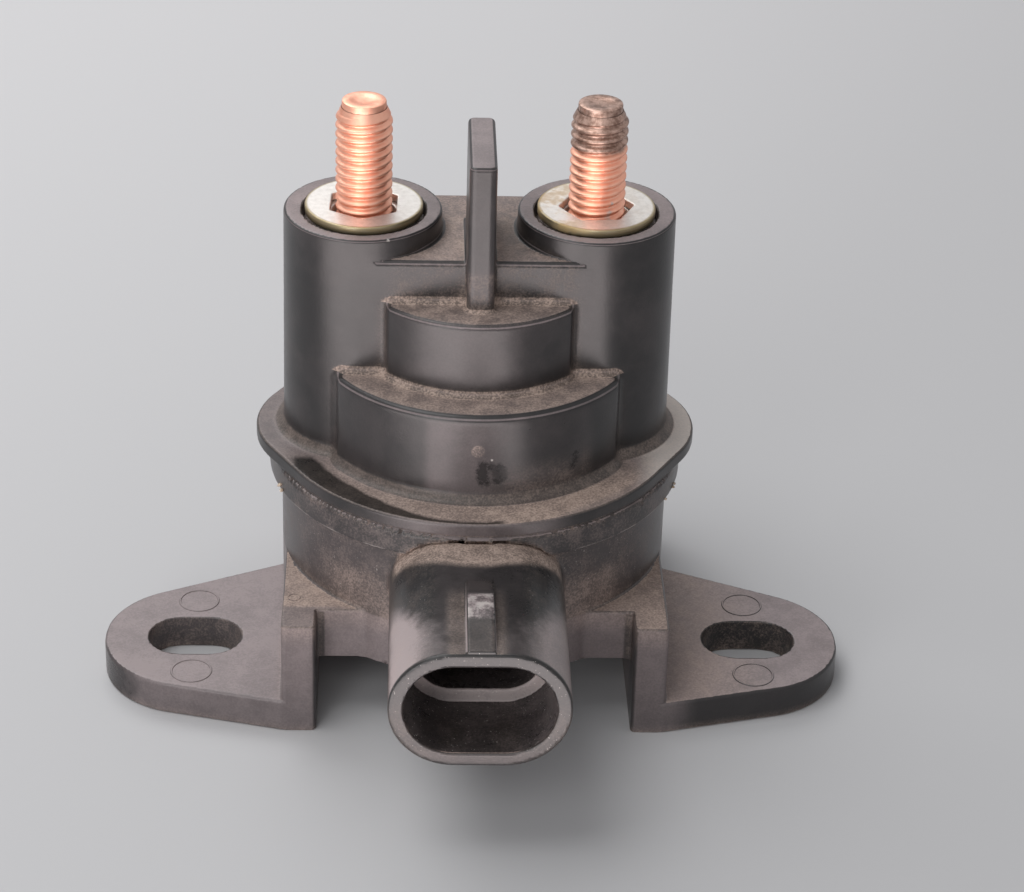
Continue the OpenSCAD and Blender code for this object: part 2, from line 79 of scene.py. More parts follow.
# Hollows inside the cap
CHAMBER_R, CHAMBER_END, CHAMBER_Z = 14.6, 6.0, 34.7
SHANK_R, SEAL_R, SEAL_H, ROD_POCKET_R, ROD_POCKET_Z = 3.2, 4.7, 1.5, 3.3, 37.45
# Studs with their rolled thread, and the washers
STUD_R, STUD_TOP, NOSE_R, NOSE_L, HEAD_R, HEAD_T, HEAD_Z = 2.95, 63.3, 2.3, 0.72, 5.4, 2, 32.7
THREAD_FOOT, THREAD_DEPTH, PITCH = 50.4, 0.46, 1.0
WASHER_R, WASHER_EDGE, WASHER_GROWTH = 6.0, 0.16, 1.018

# Roundings in mm from the sharpest edge to the bluntest, those of single forms, and
# the clearance between pieces
CRISP, FIRM, EDGE, SOFT, BLUNT = 0.15, 0.2, 0.3, 0.6, 0.8
FIN_CORNER, FIN_TOP_EDGE, FIN_JOIN, UPPER_JOIN = 0.7, 0.42, 0.35, 0.7
GAP = 0.05

# Grids in mm that the two mouldings are meshed on: their reach, their steps, and the
# spans along y and z where edges need the fine step
BASE_X, BASE_Y, BASE_Z = (-40.2, 40.2), (-42.6, 24.0), (-0.4, 25.9)
CAP_X, CAP_Y, CAP_Z = (-24.0, 24.0), (-22.6, 22.6), (21.4, 61.0)
BASE_STEP, CAP_STEP, CAP_RISE = 0.5, 0.4, 0.7
FINE_STEP, BASE_FINE_RISE, CAP_FINE_RISE = 0.2, 0.13, 0.14
BASE_SPANS_Y = ((-42.6, -41.6), (-34, -32.6), (-21, -20), (-17.6, -16.6), (16.6, 17.6), (20, 21))
BASE_SPANS_Z = ((-0.4, 0.5), (3.2, 4.4), (12.5, 13.5), (23.2, 25.9))
CAP_SPANS_Y = ((-22.6, -20.8), (-10.7, -9.7), (-8.5, -7.5), (7.5, 8.5))
CAP_SPANS_Z = ((21.4, 22.6), (24.2, 27.6), (35.4, 37.0), (43.6, 45.2), (48.2, 51.8), (59.6, 61.0))

# Colours of the black plastic and of what lies on it. The film, dust and chalk colours also paint sheen and
# light in places
BLACK = (0.013, 0.013, 0.0135)
FILM_AND_SHEEN = (0.31, 0.257, 0.258)
DUST_DARK = (0.215, 0.157, 0.128)
DUST_PALE = (0.50, 0.385, 0.325)
CHALK_AND_LIGHT = (0.62, 0.58, 0.55)

# Colours of the copper studs, the tinned washers and the floor
COPPER_PALE, COPPER_DEEP, COPPER_HOLLOW = (1.0, 0.55, 0.40), (0.95, 0.46, 0.32), (0.26, 0.095, 0.055)
OXIDE_DARK, OXIDE_PALE, WORN_SILVER = (0.24, 0.145, 0.11), (0.56, 0.38, 0.31), (0.62, 0.55, 0.52)
TIN_PALE, TIN_DARK, TIN_HOLLOW = (0.86, 0.83, 0.79), (0.72, 0.69, 0.65), (0.20, 0.16, 0.12)
TIN_RIM, RUST = (0.36, 0.285, 0.155), (0.46, 0.31, 0.13)
# The floor's front and back colours paint light falling off towards the front
FLOOR_FRONT, FLOOR_BACK = (0.50, 0.50, 0.51), (0.73, 0.725, 0.735)
FLOOR_REACH_M = 3.0

# Oily remains low on the front of the cap: place and reach in mm
DRUM_MARKS = (
    ((0.45, -9.2, 30.5), 0.30), ((0.35, -9.2, 29.8), 0.42), ((0.45, -9.2, 29.1), 0.40),
    ((0.30, -9.2, 28.6), 0.15), ((0.85, -9.2, 28.5), 0.15), ((1.2, -9.2, 30.4), 0.25),
    ((2.1, -9.1, 29.9), 0.60), ((2.3, -9.1, 29.3), 0.50), ((1.9, -9.1, 28.8), 0.25),
    ((10.1, -6.2, 30.3), 0.25), ((10.1, -6.1, 29.6), 0.25), ((9.8, -6.3, 29.0), 0.15))

# Grains of grit under the cap's rim: angle in degrees and height in mm
GRIT = ((-160, 22.4), (-158, 22.2), (-159, 22.7), (-17, 22.4), (-18, 22.2), (-25, 22.2))


def make_camera():
    down, yaw, roll = [math.radians(a) for a in (CAMERA_DOWN, CAMERA_YAW, CAMERA_ROLL)]
    out = Vector((math.sin(yaw) * math.cos(down), -math.cos(yaw) * math.cos(down), math.sin(down)))
    right = (-out).cross(Vector((0, 0, 1))).normalized()
    up = right.cross(-out)
    across = right * math.cos(roll) + up * math.sin(roll)
    upward = up * math.cos(roll) - right * math.sin(roll)
    cam = bpy.data.cameras.new("camera")
    cam.sensor_width = SENSOR_W
    cam.lens = FOCAL * SENSOR_W / PHOTO_W
    cam.clip_start = 0.01
    turned = Matrix((across, upward, out)).transposed().to_4x4()
    turned.translation = Vector(CAMERA_AT) * MM
    SCENE.camera = link("camera", cam)
    SCENE.camera.matrix_world = turned


def link(name, data):
    """New object in the scene that shows this mesh, lamp or camera."""
    ob = bpy.data.objects.new(name, data)
    SCENE.collection.objects.link(ob)
    return ob


class Nodes:
    """Short names for the shader nodes of one material. Positions are in mm."""

    def __init__(self, name):
        self.mat = bpy.data.materials.new(name)
        self.mat.use_nodes = True
        self.t = self.mat.node_tree
        self.t.nodes.clear()
        out = self.t.nodes.new("ShaderNodeOutputMaterial")
        self.bsdf = self.t.nodes.new("ShaderNodeBsdfPrincipled")
        self.t.links.new(self.bsdf.outputs[0], out.inputs[0])
        place = self.t.nodes.new("ShaderNodeTexCoord")
        in_mm = self.t.nodes.new("ShaderNodeVectorMath")
        in_mm.operation = "SCALE"
        in_mm.inputs["Scale"].default_value = 1000.0
        self.t.links.new(place.outputs["Object"], in_mm.inputs[0])
        self.pos = in_mm.outputs[0]
        self.x, self.y, self.z = self.parts(self.pos)
        geometry = self.t.nodes.new("ShaderNodeNewGeometry")
        self.nz = self.parts(geometry.outputs["Normal"])[2]

    def parts(self, vector):
        split = self.t.nodes.new("ShaderNodeSeparateXYZ")
        self.t.links.new(vector, split.inputs[0])
        return split.outputs

    def put(self, sock, v):
        """Feed a socket from another socket, a colour or a number."""
        if isinstance(v, bpy.types.NodeSocket):
            self.t.links.new(v, sock)
        elif isinstance(v, tuple):
            sock.default_value = (*v, 1.0)
        else:
            sock.default_value = v

    def math(self, op, a, b=0.0, clamp=False):
        n = self.t.nodes.new("ShaderNodeMath")
        n.operation = op
        n.use_clamp = clamp
        self.put(n.inputs[0], a)
        self.put(n.inputs[1], b)
        return n.outputs[0]

    def chain(self, op, values):
        result = values[0]
        for v in values[1:]:
            result = self.math(op, result, v)
        return result

    def add(self, *values):
        return self.chain("ADD", values)

    def mul(self, *values):
        return self.chain("MULTIPLY", values)

    def vmax(self, *values):
        return self.chain("MAXIMUM", values)

    def vmin(self, *values):
        return self.chain("MINIMUM", values)

    def sub(self, a, b):
        return self.math("SUBTRACT", a, b)

    def inv(self, a):
        """One less a."""
        return self.math("SUBTRACT", 1.0, a)

    def sat(self, a):
        """a held between nothing and one."""
        return self.math("ADD", a, 0.0, clamp=True)

    def scaled(self, v, factor, start):
        """start plus factor times v."""
        return self.add(start, self.mul(v, factor))

    def swing(self, noise, width):
        """Noise turned into a shift of about width in all, both ways."""
        return self.mul(self.sub(noise, 0.5), width)

    def average(self, a, b):
        return self.add(self.mul(a, 0.5), self.mul(b, 0.5))

    def length(self, a, b):
        return self.math("SQRT", self.add(self.mul(a, a), self.mul(b, b)))

    def layers(self, *pairs):
        """Sum of zones, each times its amount."""
        return self.add(*[self.mul(zone, amount) for zone, amount in pairs])

    def thinned(self, v, *pairs):
        """v with a share of it taken away in each zone."""
        return self.mul(v, *[self.inv(self.mul(zone, share)) for zone, share in pairs])

    def ramp(self, v, a, b, lo=0.0, hi=1.0):
        """Smooth step from lo at a to hi at b."""
        n = self.t.nodes.new("ShaderNodeMapRange")
        n.interpolation_type = "SMOOTHSTEP"
        self.put(n.inputs[0], v)
        for sock, value in zip(n.inputs[1:5], (a, b, lo, hi)):
            sock.default_value = value
        return n.outputs[0]

    def band(self, v, a, b, soft):
        """One between a and b, falling to nothing over soft outside them."""
        return self.mul(self.ramp(v, a - soft, a), self.ramp(v, b, b + soft, 1.0, 0.0))

    def near(self, place, reach, soft, uneven, noise):
        """One within reach mm of a place and nothing soft mm further out, with a ragged edge."""
        n = self.t.nodes.new("ShaderNodeVectorMath")
        n.operation = "DISTANCE"
        self.t.links.new(self.pos, n.inputs[0])
        n.inputs[1].default_value = place
        ragged = self.add(n.outputs["Value"], self.swing(noise, uneven))
        return self.ramp(ragged, reach, reach + soft, 1.0, 0.0)

    def far(self, cx, cy):
        """Distance in plan from the upright axis at (cx, cy)."""
        return self.length(self.sub(self.x, cx), self.sub(self.y, cy))

    def noise(self, size, detail, rough=0.55, stretch=(1, 1, 1), shift=0.0):
        """Noise whose features are about size mm across."""
        moved = self.t.nodes.new("ShaderNodeMapping")
        self.t.links.new(self.pos, moved.inputs[0])
        moved.inputs["Scale"].default_value = stretch
        moved.inputs["Location"].default_value = (shift, shift, shift)
        n = self.t.nodes.new("ShaderNodeTexNoise")
        self.t.links.new(moved.outputs[0], n.inputs["Vector"])
        n.inputs["Scale"].default_value = 1.0 / size
        n.inputs["Detail"].default_value = detail
        n.inputs["Roughness"].default_value = rough
        return n.outputs[0]

    def mixed(self, kind, first, f, a, b):
        """Node that goes from a to b as f goes from nothing to one."""
        n = self.t.nodes.new("ShaderNodeMix")
        n.data_type = kind
        self.put(n.inputs[0], f)
        self.put(n.inputs[first], a)
        self.put(n.inputs[first + 1], b)
        return n

    def mix(self, f, a, b):
        return self.mixed("RGBA", 6, f, a, b).outputs[2]

    def mixf(self, f, a, b):
        return self.mixed("FLOAT", 2, f, a, b).outputs[0]

    def hollow(self, distance):
        """Nearness of other walls: one in a corner, nothing in the open."""
        n = self.t.nodes.new("ShaderNodeAmbientOcclusion")
        n.samples = 4
        n.inputs["Distance"].default_value = distance * MM
        return self.math("SUBTRACT", 1.0, n.outputs["AO"], clamp=True)

    def bump(self, height, strength, distance):
        n = self.t.nodes.new("ShaderNodeBump")
        n.inputs["Strength"].default_value = strength
        n.inputs["Distance"].default_value = distance * MM
        self.put(n.inputs["Height"], height)
        self.t.links.new(n.outputs[0], self.bsdf.inputs["Normal"])

    def set(self, **values):
        names = {"color": "Base Color", "rough": "Roughness", "metal": "Metallic",
                 "spec": "Specular IOR Level"}
        for key, v in values.items():
            self.put(self.bsdf.inputs[names[key]], v)


# Solid shapes as distance fields: negative inside, in mm
def disc(x, y, r):
    return np.hypot(x, y) - r


def stadium(x, y, w, h):
    """Round-ended slot w wide and h high."""
    return np.hypot(np.maximum(np.abs(x) - (w - h) / 2, 0), y) - h / 2


def box(x, y, hx, hy, r):
    """Rectangle of half sizes hx and hy, its corners rounded by r."""
    qx, qy = np.abs(x) - hx + r, np.abs(y) - hy + r
    return np.minimum(np.maximum(qx, qy), 0) + np.hypot(np.maximum(qx, 0), np.maximum(qy, 0)) - r


def both(a, b, r):
    """What lies in a and in b, its edge rounded by r."""
    return np.minimum(np.maximum(a, b), -r) + np.hypot(np.maximum(a + r, 0), np.maximum(b + r, 0))


def join(a, b, r):
    """a and b as one, with a hollow fillet of radius r where they meet."""
    return np.maximum(np.minimum(a, b), r) - np.hypot(np.maximum(r - a, 0), np.maximum(r - b, 0))


def cut(a, b, r):
    """a without b, its new edges rounded by r."""
    return both(a, -b, r)


def prism(plan, z, lo, hi, r_lo, r_hi):
    """A plan raised from lo to hi, its lower and upper edges rounded."""
    return both(both(plan, z - hi, r_hi), lo - z, r_lo)


def faded(r, inside, reach):
    """Fillet radius r that shrinks to almost nothing over reach mm towards an open edge."""
    return 0.001 + r * np.clip(inside / reach, 0, 1)


def flange_plan(x, y):
    """The middle disc and the rounds about the towers, joined by straight tangents."""
    ax, ay = np.abs(x), np.abs(y)
    lean = (FLANGE_R - LOBE_R) / STUD_X
    rise = math.sqrt(1 - lean * lean)
    along = rise * ax - lean * ay
    plan = np.where(along < 0, disc(x, y, FLANGE_R), rise * ay + lean * ax - FLANGE_R)
    return np.where(along > rise * STUD_X, disc(ax - STUD_X, y, LOBE_R), plan)


def towers_on_block(ax, y, z):
    """Two round towers on their block. The join fades where the towers' outer sides run straight down."""
    radius = TOWER_R + TOWER_DRAFT * (TOWER_Z - z)
    tower = both(disc(ax - TOWER_X, y - TOWER_Y, radius), z - TOWER_Z, EDGE)
    block = both(stadium(ax, y - TOWER_Y, 2 * (TOWER_X + radius), 2 * radius), z - BLOCK_Z, SOFT)
    crease = 0.5 * np.clip((7.4 - np.abs(y)) / 2.5, 0, 1) * np.clip((STUD_X + 1 - ax) / 3, 0, 1)
    return np.where(z > BLOCK_Z - 2, join(tower, block, crease), np.minimum(tower, block))


def cap_field(x, y, z):
    """The terminal cap: outer forms first, then the hollows cut from below and from above."""
    ax = np.abs(x)
    d = towers_on_block(ax, y, z)
    lower = both(both(disc(x, y, LOWER_R), ax - LOWER_X, EDGE), z - LOWER_Z, BLUNT)
    upper = both(both(disc(x, y, UPPER_R), ax - UPPER_X, EDGE), z - UPPER_Z, SOFT)
    d = join(join(d, lower, BLUNT), upper, UPPER_JOIN)
    middle, half = (FIN_REAR - FIN_FRONT) / 2, (FIN_REAR + FIN_FRONT) / 2
    fin = both(box(x, y - middle, FIN_T / 2, half, FIN_CORNER), z - FIN_Z, FIN_TOP_EDGE)
    d = join(d, both(fin, UPPER_Z - 1 - z, 0.1), FIN_JOIN)
    band = prism(flange_plan(x, y), z, FLANGE_Z - BAND_T, FLANGE_Z, EDGE, EDGE)
    collar = both(disc(x, y, COLLAR_R), z - FLANGE_Z + BAND_T, CRISP)
    core = np.maximum(disc(x, y, FLANGE_R - 0.6), z - FLANGE_Z + 0.3)
    d = join(np.minimum(np.minimum(band, collar), core), d, FOOT)
    d = both(d, COLLAR_Z - z, FIRM)
    d = cut(d, both(disc(x, y, BODY_R + 0.08), z - DECK_Z, 0.05), CRISP)
    room = np.minimum(disc(x, y, CHAMBER_R), stadium(x, y, 2 * (STUD_X + CHAMBER_END), 2 * CHAMBER_END))
    d = np.maximum(d, -np.maximum(room, z - CHAMBER_Z))
    d = np.maximum(d, -np.maximum(disc(x, y, ROD_POCKET_R), z - ROD_POCKET_Z))
    d = np.maximum(d, -disc(ax - STUD_X, y, SHANK_R + GAP))
    d = np.maximum(d, -np.maximum(disc(ax - STUD_X, y, SEAL_R), RECESS_Z - SEAL_H - z))
    d = cut(d, np.maximum(disc(ax - STUD_X, y, RECESS_R), RECESS_Z - z), FIRM)
    notch = np.maximum(stadium(x, z - CONN_Z, CONN_W + 2 * GAP, CONN_H + 2 * GAP), y + BODY_R - 1)
    return cut(d, notch, FIRM)


def tangent(start, centre, r, side):
    """Unit normal and offset of the line from start that touches the circle round centre."""
    d = np.subtract(centre, start)
    far = math.hypot(*d)
    a = math.atan2(d[1], d[0]) + side * math.asin(r / far)
    n = (-math.sin(a) * side, math.cos(a) * side)
    return n, n[0] * start[0] + n[1] * start[1]


def ear_plan(x, y):
    """A round end about the slot, with straight sides that run to the frame's corners."""
    centre = (SLOT_X, -AXIS_Y)
    n1, c1 = tangent((FRAME_X, -FRAME_Y), centre, EAR_R, -1)
    n2, c2 = tangent((FRAME_X, EAR_REAR), centre, EAR_R, 1)
    sides = np.maximum(n1[0] * x + n1[1] * y - c1, n2[0] * x + n2[1] * y - c2)
    p1 = (centre[0] + EAR_R * n1[0], centre[1] + EAR_R * n1[1])
    p2 = (centre[0] + EAR_R * n2[0], centre[1] + EAR_R * n2[1])
    chord = (p2[1] - p1[1], p1[0] - p2[0])
    far = math.hypot(*chord)
    beyond = ((x - p1[0]) * chord[0] + (y - p1[1]) * chord[1]) / far
    plan = np.where(beyond > 0, disc(x - centre[0], y - centre[1], EAR_R), sides)
    return np.maximum(np.maximum(plan, SKIRT_IN + 1.5 - x), -FRAME_Y - y)


def nib_field(ax, y, z):
    """Lock nib: a long ramp from the mouth, a short crest and a slope down to the rear."""
    top = CONN_Z + CONN_H / 2
    ramp_l, back_l = MOUTH - NIB_REAR - NIB_CREST, NIB_BACK
    ramp = z - (top + NIB_FRONT_RISE + (y + MOUTH) * (NIB_RISE - NIB_FRONT_RISE) / ramp_l)
    back = z - (top + NIB_BACK_RISE - (y + NIB_REAR - back_l) * (NIB_RISE - NIB_BACK_RISE) / back_l)
    d = both(both(z - top - NIB_RISE, ramp * 0.96, 0.5), back * 0.96, 0.5)
    d = both(d, ax - NIB_W / 2, 0.14)
    return np.maximum(np.maximum(d, -y - MOUTH + NIB_SETBACK), top - 0.6 - z)


def base_field(x, y, z):
    """The base housing: body, frame, legs, ears and connector, then the bores."""
    ax = np.abs(x)
    d = prism(disc(x, y, BODY_R), z, UNDER, RIM_Z, FIRM, FIRM)
    walls = prism(box(x, y, FRAME_X - 1, WALL_Y, FIRM), z, UNDER, SKIRT_H, CRISP, FIRM)
    d = join(d, walls, faded(0.3, z - UNDER, 0.8))
    leg = box(ax - (FRAME_X + SKIRT_IN) / 2, y, (FRAME_X - SKIRT_IN) / 2, FRAME_Y, 0.5)
    d = join(d, prism(leg, z, 0, SKIRT_H, 0.12, FIRM), faded(0.25, SKIRT_H - z, 0.8))
    ear = prism(ear_plan(ax, y), z, 0, EAR_T, EDGE, 0.22)
    d = join(d, ear, faded(0.3, np.minimum(y + FRAME_Y, z), 1.2))
    d = cut(d, stadium(ax - SLOT_X, y + AXIS_Y, SLOT_L, SLOT_W), CRISP)
    shroud = stadium(x, z - CONN_Z, CONN_W, CONN_H)
    d = join(d, prism(shroud, -y, BORE_R + 0.6, MOUTH, 0.1, EDGE), 0.5)
    d = join(d, nib_field(ax, y, z), faded(0.18, y + MOUTH - 2 * NIB_SETBACK, 0.8))
    d = np.maximum(d, -np.maximum(disc(x, y, BORE_R), FLOOR_Z - z))
    wide = stadium(x, z - CONN_Z, CONN_W - 2 * CONN_WALL, CONN_H - 2 * CONN_WALL)
    d = cut(d, np.maximum(wide, y + MOUTH - FRONT_DEPTH), 0.22)
    key = np.maximum(stadium(x, z - CONN_Z, KEY_W, KEY_H), y + MOUTH - FRONT_DEPTH - KEY_DEPTH)
    return cut(d, key, CRISP)


def lines(lo, hi, step, fine, spans):
    """Grid coordinates from lo to hi, closer together within the spans."""
    out = [lo]
    while out[-1] < hi:
        close = any(a <= out[-1] < b for a, b in spans)
        out.append(out[-1] + (fine if close else step))
    return np.array(out)


def mirrored(values, reach):
    """Spans of reach to either side of each value, left and right of the middle."""
    return [(s * v - reach, s * v + reach) for s in (-1, 1) for v in values]


def surface(field, xs, ys, zs):
    """Corner points and four-sided faces of a field's zero surface on a grid."""
    grid = np.empty((len(xs), len(ys), len(zs)), dtype=np.float32)
    for i in range(0, len(xs), 32):
        x, y, z = np.meshgrid(xs[i:i + 32], ys, zs, indexing="ij")
        grid[i:i + 32] = field(x, y, z)
    solid = grid < 0

    # The cells that the surface runs through, numbered
    corners = [(a, b, c) for a in (0, 1) for b in (0, 1) for c in (0, 1)]
    size = [n - 1 for n in grid.shape]
    filled = np.zeros(size, dtype=np.int8)
    for a, b, c in corners:
        filled += solid[a:a + size[0], b:b + size[1], c:c + size[2]]
    cells = np.argwhere((filled > 0) & (filled < 8))
    number = np.full(size, -1, dtype=np.int64)
    number[tuple(cells.T)] = np.arange(len(cells))

    # One point in each: the mean of the places where its edges cross the surface
    axes = (xs, ys, zs)
    total = np.zeros((len(cells), 3))
    count = np.zeros((len(cells), 1))
    for corner in corners:
        for k in range(3):
            if corner[k]:
                continue
            p = cells + corner
            q = p.copy()
            q[:, k] += 1
            fp, fq = grid[tuple(p.T)].astype(float), grid[tuple(q.T)].astype(float)
            hit = (fp < 0) != (fq < 0)
            t = np.where(hit, fp / np.where(hit, fp - fq, 1), 0)[:, None]
            at_p = np.stack([axes[m][p[:, m]] for m in range(3)], 1)
            at_q = np.stack([axes[m][q[:, m]] for m in range(3)], 1)
            total += np.where(hit[:, None], at_p + (at_q - at_p) * t, 0)
            count += hit[:, None]

    # One face across each grid edge that crosses the surface, between its four cells
    faces = []
    for k in range(3):
        u, v = (k + 1) % 3, (k + 2) % 3
        here = [slice(1, -1)] * 3
        here[k] = slice(0, -1)
        there = list(here)
        there[k] = slice(1, None)
        edge = np.argwhere(solid[tuple(here)] != solid[tuple(there)])
        edge[:, u] += 1
        edge[:, v] += 1
        flip = ~solid[tuple(edge.T)]
        ring = []
        for du, dv in ((1, 1), (0, 1), (0, 0), (1, 0)):
            cell = edge.copy()
            cell[:, u] -= du
            cell[:, v] -= dv
            ring.append(number[tuple(cell.T)])
        quad = np.stack(ring, 1)
        quad[flip] = quad[flip][:, ::-1]
        faces.append(quad)
    return total / count, np.concatenate(faces)


def slope(field, points, h=0.01):
    """Gradient of a field at points, by central differences of h mm."""
    g = np.empty_like(points)
    for k in range(3):
        step = np.zeros(3)
        step[k] = h
        g[:, k] = (field(*(points + step).T) - field(*(points - step).T)) / (2 * h)
    return g


def moulded(name, field, xs, ys, zs, mat, node):
    """A moulded piece from its field, each point drawn onto the true surface."""
    points, faces = surface(field, xs, ys, zs)
    for _ in range(3):
        g = slope(field, points)
        steep = np.maximum((g * g).sum(1), 0.25)
        points -= g * np.clip(field(*points.T) / steep, -0.1, 0.1)[:, None]
    normals = slope(field, points)
    normals /= np.maximum(np.linalg.norm(normals, axis=1), 1e-6)[:, None]
    me = bpy.data.meshes.new(name)
    me.from_pydata((points + (0, AXIS_Y, 0)) * MM, [], faces)
    me.polygons.foreach_set("use_smooth", np.ones(len(faces), dtype=bool))
    me.normals_split_custom_set_from_vertices(normals)
    me.materials.append(mat)
    ob = link(name, me)
    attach(ob, "housing")
    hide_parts(node)
    print(name, len(faces), "faces")


def plastic(name, zones):
    """Black moulded plastic with a thin grey film, tan dust in places and oily dark marks, and with painted
    sheen, light and shade.
    """
    n = Nodes(name)
    coarse = n.noise(8.0, 4, 0.6)
    mid = n.noise(1.9, 4, 0.65, shift=7.0)
    fine = n.noise(0.22, 2, 0.6, shift=3.0)
    grain = n.average(mid, fine)
    up = n.ramp(n.nz, 0.92, 0.985)
    crease = n.ramp(n.hollow(2.0), 0.2, 0.6)
    film_and_sheen, dust_and_light, oil, chalk_and_light = zones(n, up, crease, coarse, mid, fine)
    film_and_sheen = n.mul(film_and_sheen, n.ramp(coarse, 0.28, 0.72, 0.82, 1.12), n.ramp(grain, 0.36, 0.64, 0.84, 1.14))
    film_and_sheen = n.vmin(n.mul(film_and_sheen, n.inv(oil)), 1.4)
    dust_and_light = n.mul(dust_and_light, n.ramp(grain, 0.36, 0.64, 0.72, 1.12))
    dust_and_light = n.sat(n.thinned(dust_and_light, (oil, 0.85)))
    tan = n.mix(n.ramp(n.layers((mid, 0.4), (fine, 0.6)), 0.30, 0.68), DUST_DARK, DUST_PALE)
    color = n.mix(chalk_and_light, n.mix(dust_and_light, n.mix(film_and_sheen, BLACK, FILM_AND_SHEEN), tan), CHALK_AND_LIGHT)
    rough = n.mixf(oil, n.scaled(film_and_sheen, 0.15, 0.31), 0.25)
    rough = n.mixf(n.vmax(dust_and_light, chalk_and_light), rough, 0.85)
    rough = n.add(rough, n.swing(mid, 0.12))
    n.set(color=color, rough=rough, spec=n.mixf(oil, 0.42, 0.22))
    n.bump(n.mul(fine, n.add(0.5, dust_and_light)), 0.35, 0.05)
    return n.mat


def cap_zones(n, up, crease, coarse, mid, fine):
    """Where the cap carries grey film, tan dust, oily marks and chalky wear, and where sheen, light and
    shade are painted.
    """
    side = n.inv(up)
    block, upper, lower, deck = [n.mul(n.band(n.z, z - 0.4, z + 0.4, 0.3), up)
                                 for z in (BLOCK_Z, UPPER_Z, LOWER_Z, FLANGE_Z)]
    right = n.ramp(n.x, -14.0, 12.0)
    front = n.ramp(n.y, 3.0, -7.0)
    drum = n.mul(side, n.band(n.z, FLANGE_Z + 1.2, LOWER_Z - 1.0, 0.5), n.ramp(n.y, -4.0, -5.5))
    collar = n.mul(side, n.band(n.z, COLLAR_Z, FLANGE_Z - BAND_T, 0.05))
    patchy = n.ramp(coarse, 0.40, 0.62)
    mottle = n.ramp(n.average(mid, fine), 0.42, 0.62)
    axis_far = n.far(0.0, AXIS_Y)

    # Grey film: thin on the walls, thick on what faces up, less on the ledges. Painted sheen and a painted
    # highlight are added on the front
    # Painted sheen: extra film on the front walls above the lower drum, left of the middle
    middle = n.mul(n.band(n.x, -10.5, 3.0, 2.5), n.ramp(n.z, LOWER_Z - 0.2, LOWER_Z + 2.3), front)
    film_and_sheen = n.layers((side, n.scaled(patchy, 0.04, 0.02)), (up, 0.82),
                    (n.mul(side, middle), n.ramp(n.z, UPPER_Z - 0.4, UPPER_Z + 1.6, 0.08, 0.13)))
    inner_deck = n.mul(deck, n.ramp(n.x, 18.5, 14.0))
    right_rim = n.mul(n.band(n.z, TOWER_Z - 0.3, TOWER_Z + 0.1, 0.1), right)
    film_and_sheen = n.thinned(film_and_sheen, (upper, 0.58), (lower, 0.42), (block, 0.05), (n.mul(block, right), 0.42),
                     (inner_deck, 0.42), (right_rim, 0.10))
    # Painted sheen: a lighter band of film down the front of the lower drum
    drum_painted_sheen = n.mul(n.ramp(n.x, -6.0, -4.6), n.ramp(n.x, 4.5, -1.5, 0.05, 0.22))
    rim = n.mul(side, n.band(n.z, FLANGE_Z - BAND_T + 0.1, FLANGE_Z, 0.1))
    # Painted sheen: lighter film on the front of the flange band
    rim_front_painted_sheen = n.mul(rim, n.band(n.x, -6.0, 4.5, 6.0), n.ramp(n.y, -6.0, -10.0))
    # Painted highlight: a light line along rounded edges whose faces tilt about sixty degrees from upright
    edge = n.mul(n.band(n.nz, 0.42, 0.54, 0.09), n.ramp(n.z, LOWER_Z - 2.2, LOWER_Z - 1.2))
    film_and_sheen = n.add(film_and_sheen, n.layers((drum, drum_painted_sheen), (rim_front_painted_sheen, 0.34), (edge, 0.38),
                                (collar, n.scaled(mottle, 0.06, 0.03))))

    # Tan dust: on the ledges and the deck, where walls rise from them, and in corners. Towards the deck's
    # right end it is painted light
    outer = n.ramp(n.scaled(n.ramp(n.x, 3.0, 12.0), 2.2, axis_far), 23.6, 22.2, 0.35, 1.0)
    ring = n.mul(front, n.mixf(right, 0.55, 0.95), outer)
    rests = n.vmax(*[n.band(n.z, z + 0.04, z + 0.75, 0.05) for z in (UPPER_Z, LOWER_Z)])
    rests = n.mul(rests, n.band(n.nz, 0.12, 0.95, 0.12))
    foot = n.mul(n.band(n.z, FLANGE_Z, FLANGE_Z + FOOT, 0.2), n.band(n.nz, 0.35, 0.9, 0.2))
    corner = n.mul(n.ramp(n.hollow(1.2), 0.14, 0.42), side, n.ramp(n.z, BLOCK_Z - 1, BLOCK_Z - 2))
    low_right = n.mul(drum, n.ramp(n.x, -2.0, 6.0), n.ramp(n.z, FLANGE_Z + 5.3, FLANGE_Z + 1.3))
    wall = n.mul(side, n.band(n.z, UPPER_Z + 0.2, BLOCK_Z - 0.6, 0.6), n.band(n.x, -8.0, 9.0, 2.0))
    # Painted light: the ramp along x lightens the deck's right end with dust colour
    dust_and_light = n.layers((n.add(block, upper), n.scaled(mid, 0.6, 0.22)), (lower, n.scaled(mid, 0.6, 0.30)),
                    (deck, n.vmax(ring, n.ramp(n.x, 15.5, 19.5, 0.0, 0.95))), (foot, 0.22),
                    (rests, n.scaled(mottle, 0.20, 0.50)), (corner, n.scaled(mottle, 0.16, 0.24)),
                    (crease, n.mixf(side, 0.35, 0.15)), (low_right, n.scaled(mottle, 0.08, 0.08)),
                    (n.mul(collar, mottle), 0.08), (n.mul(wall, mottle), 0.14))
    gate = n.near((-0.1, -9.2, 32.2), 0.64, 0.12, 0.3, fine)
    dust_and_light = n.vmax(n.mul(dust_and_light, n.inv(gate)), n.mul(gate, n.scaled(mottle, 0.28, 0.12)))

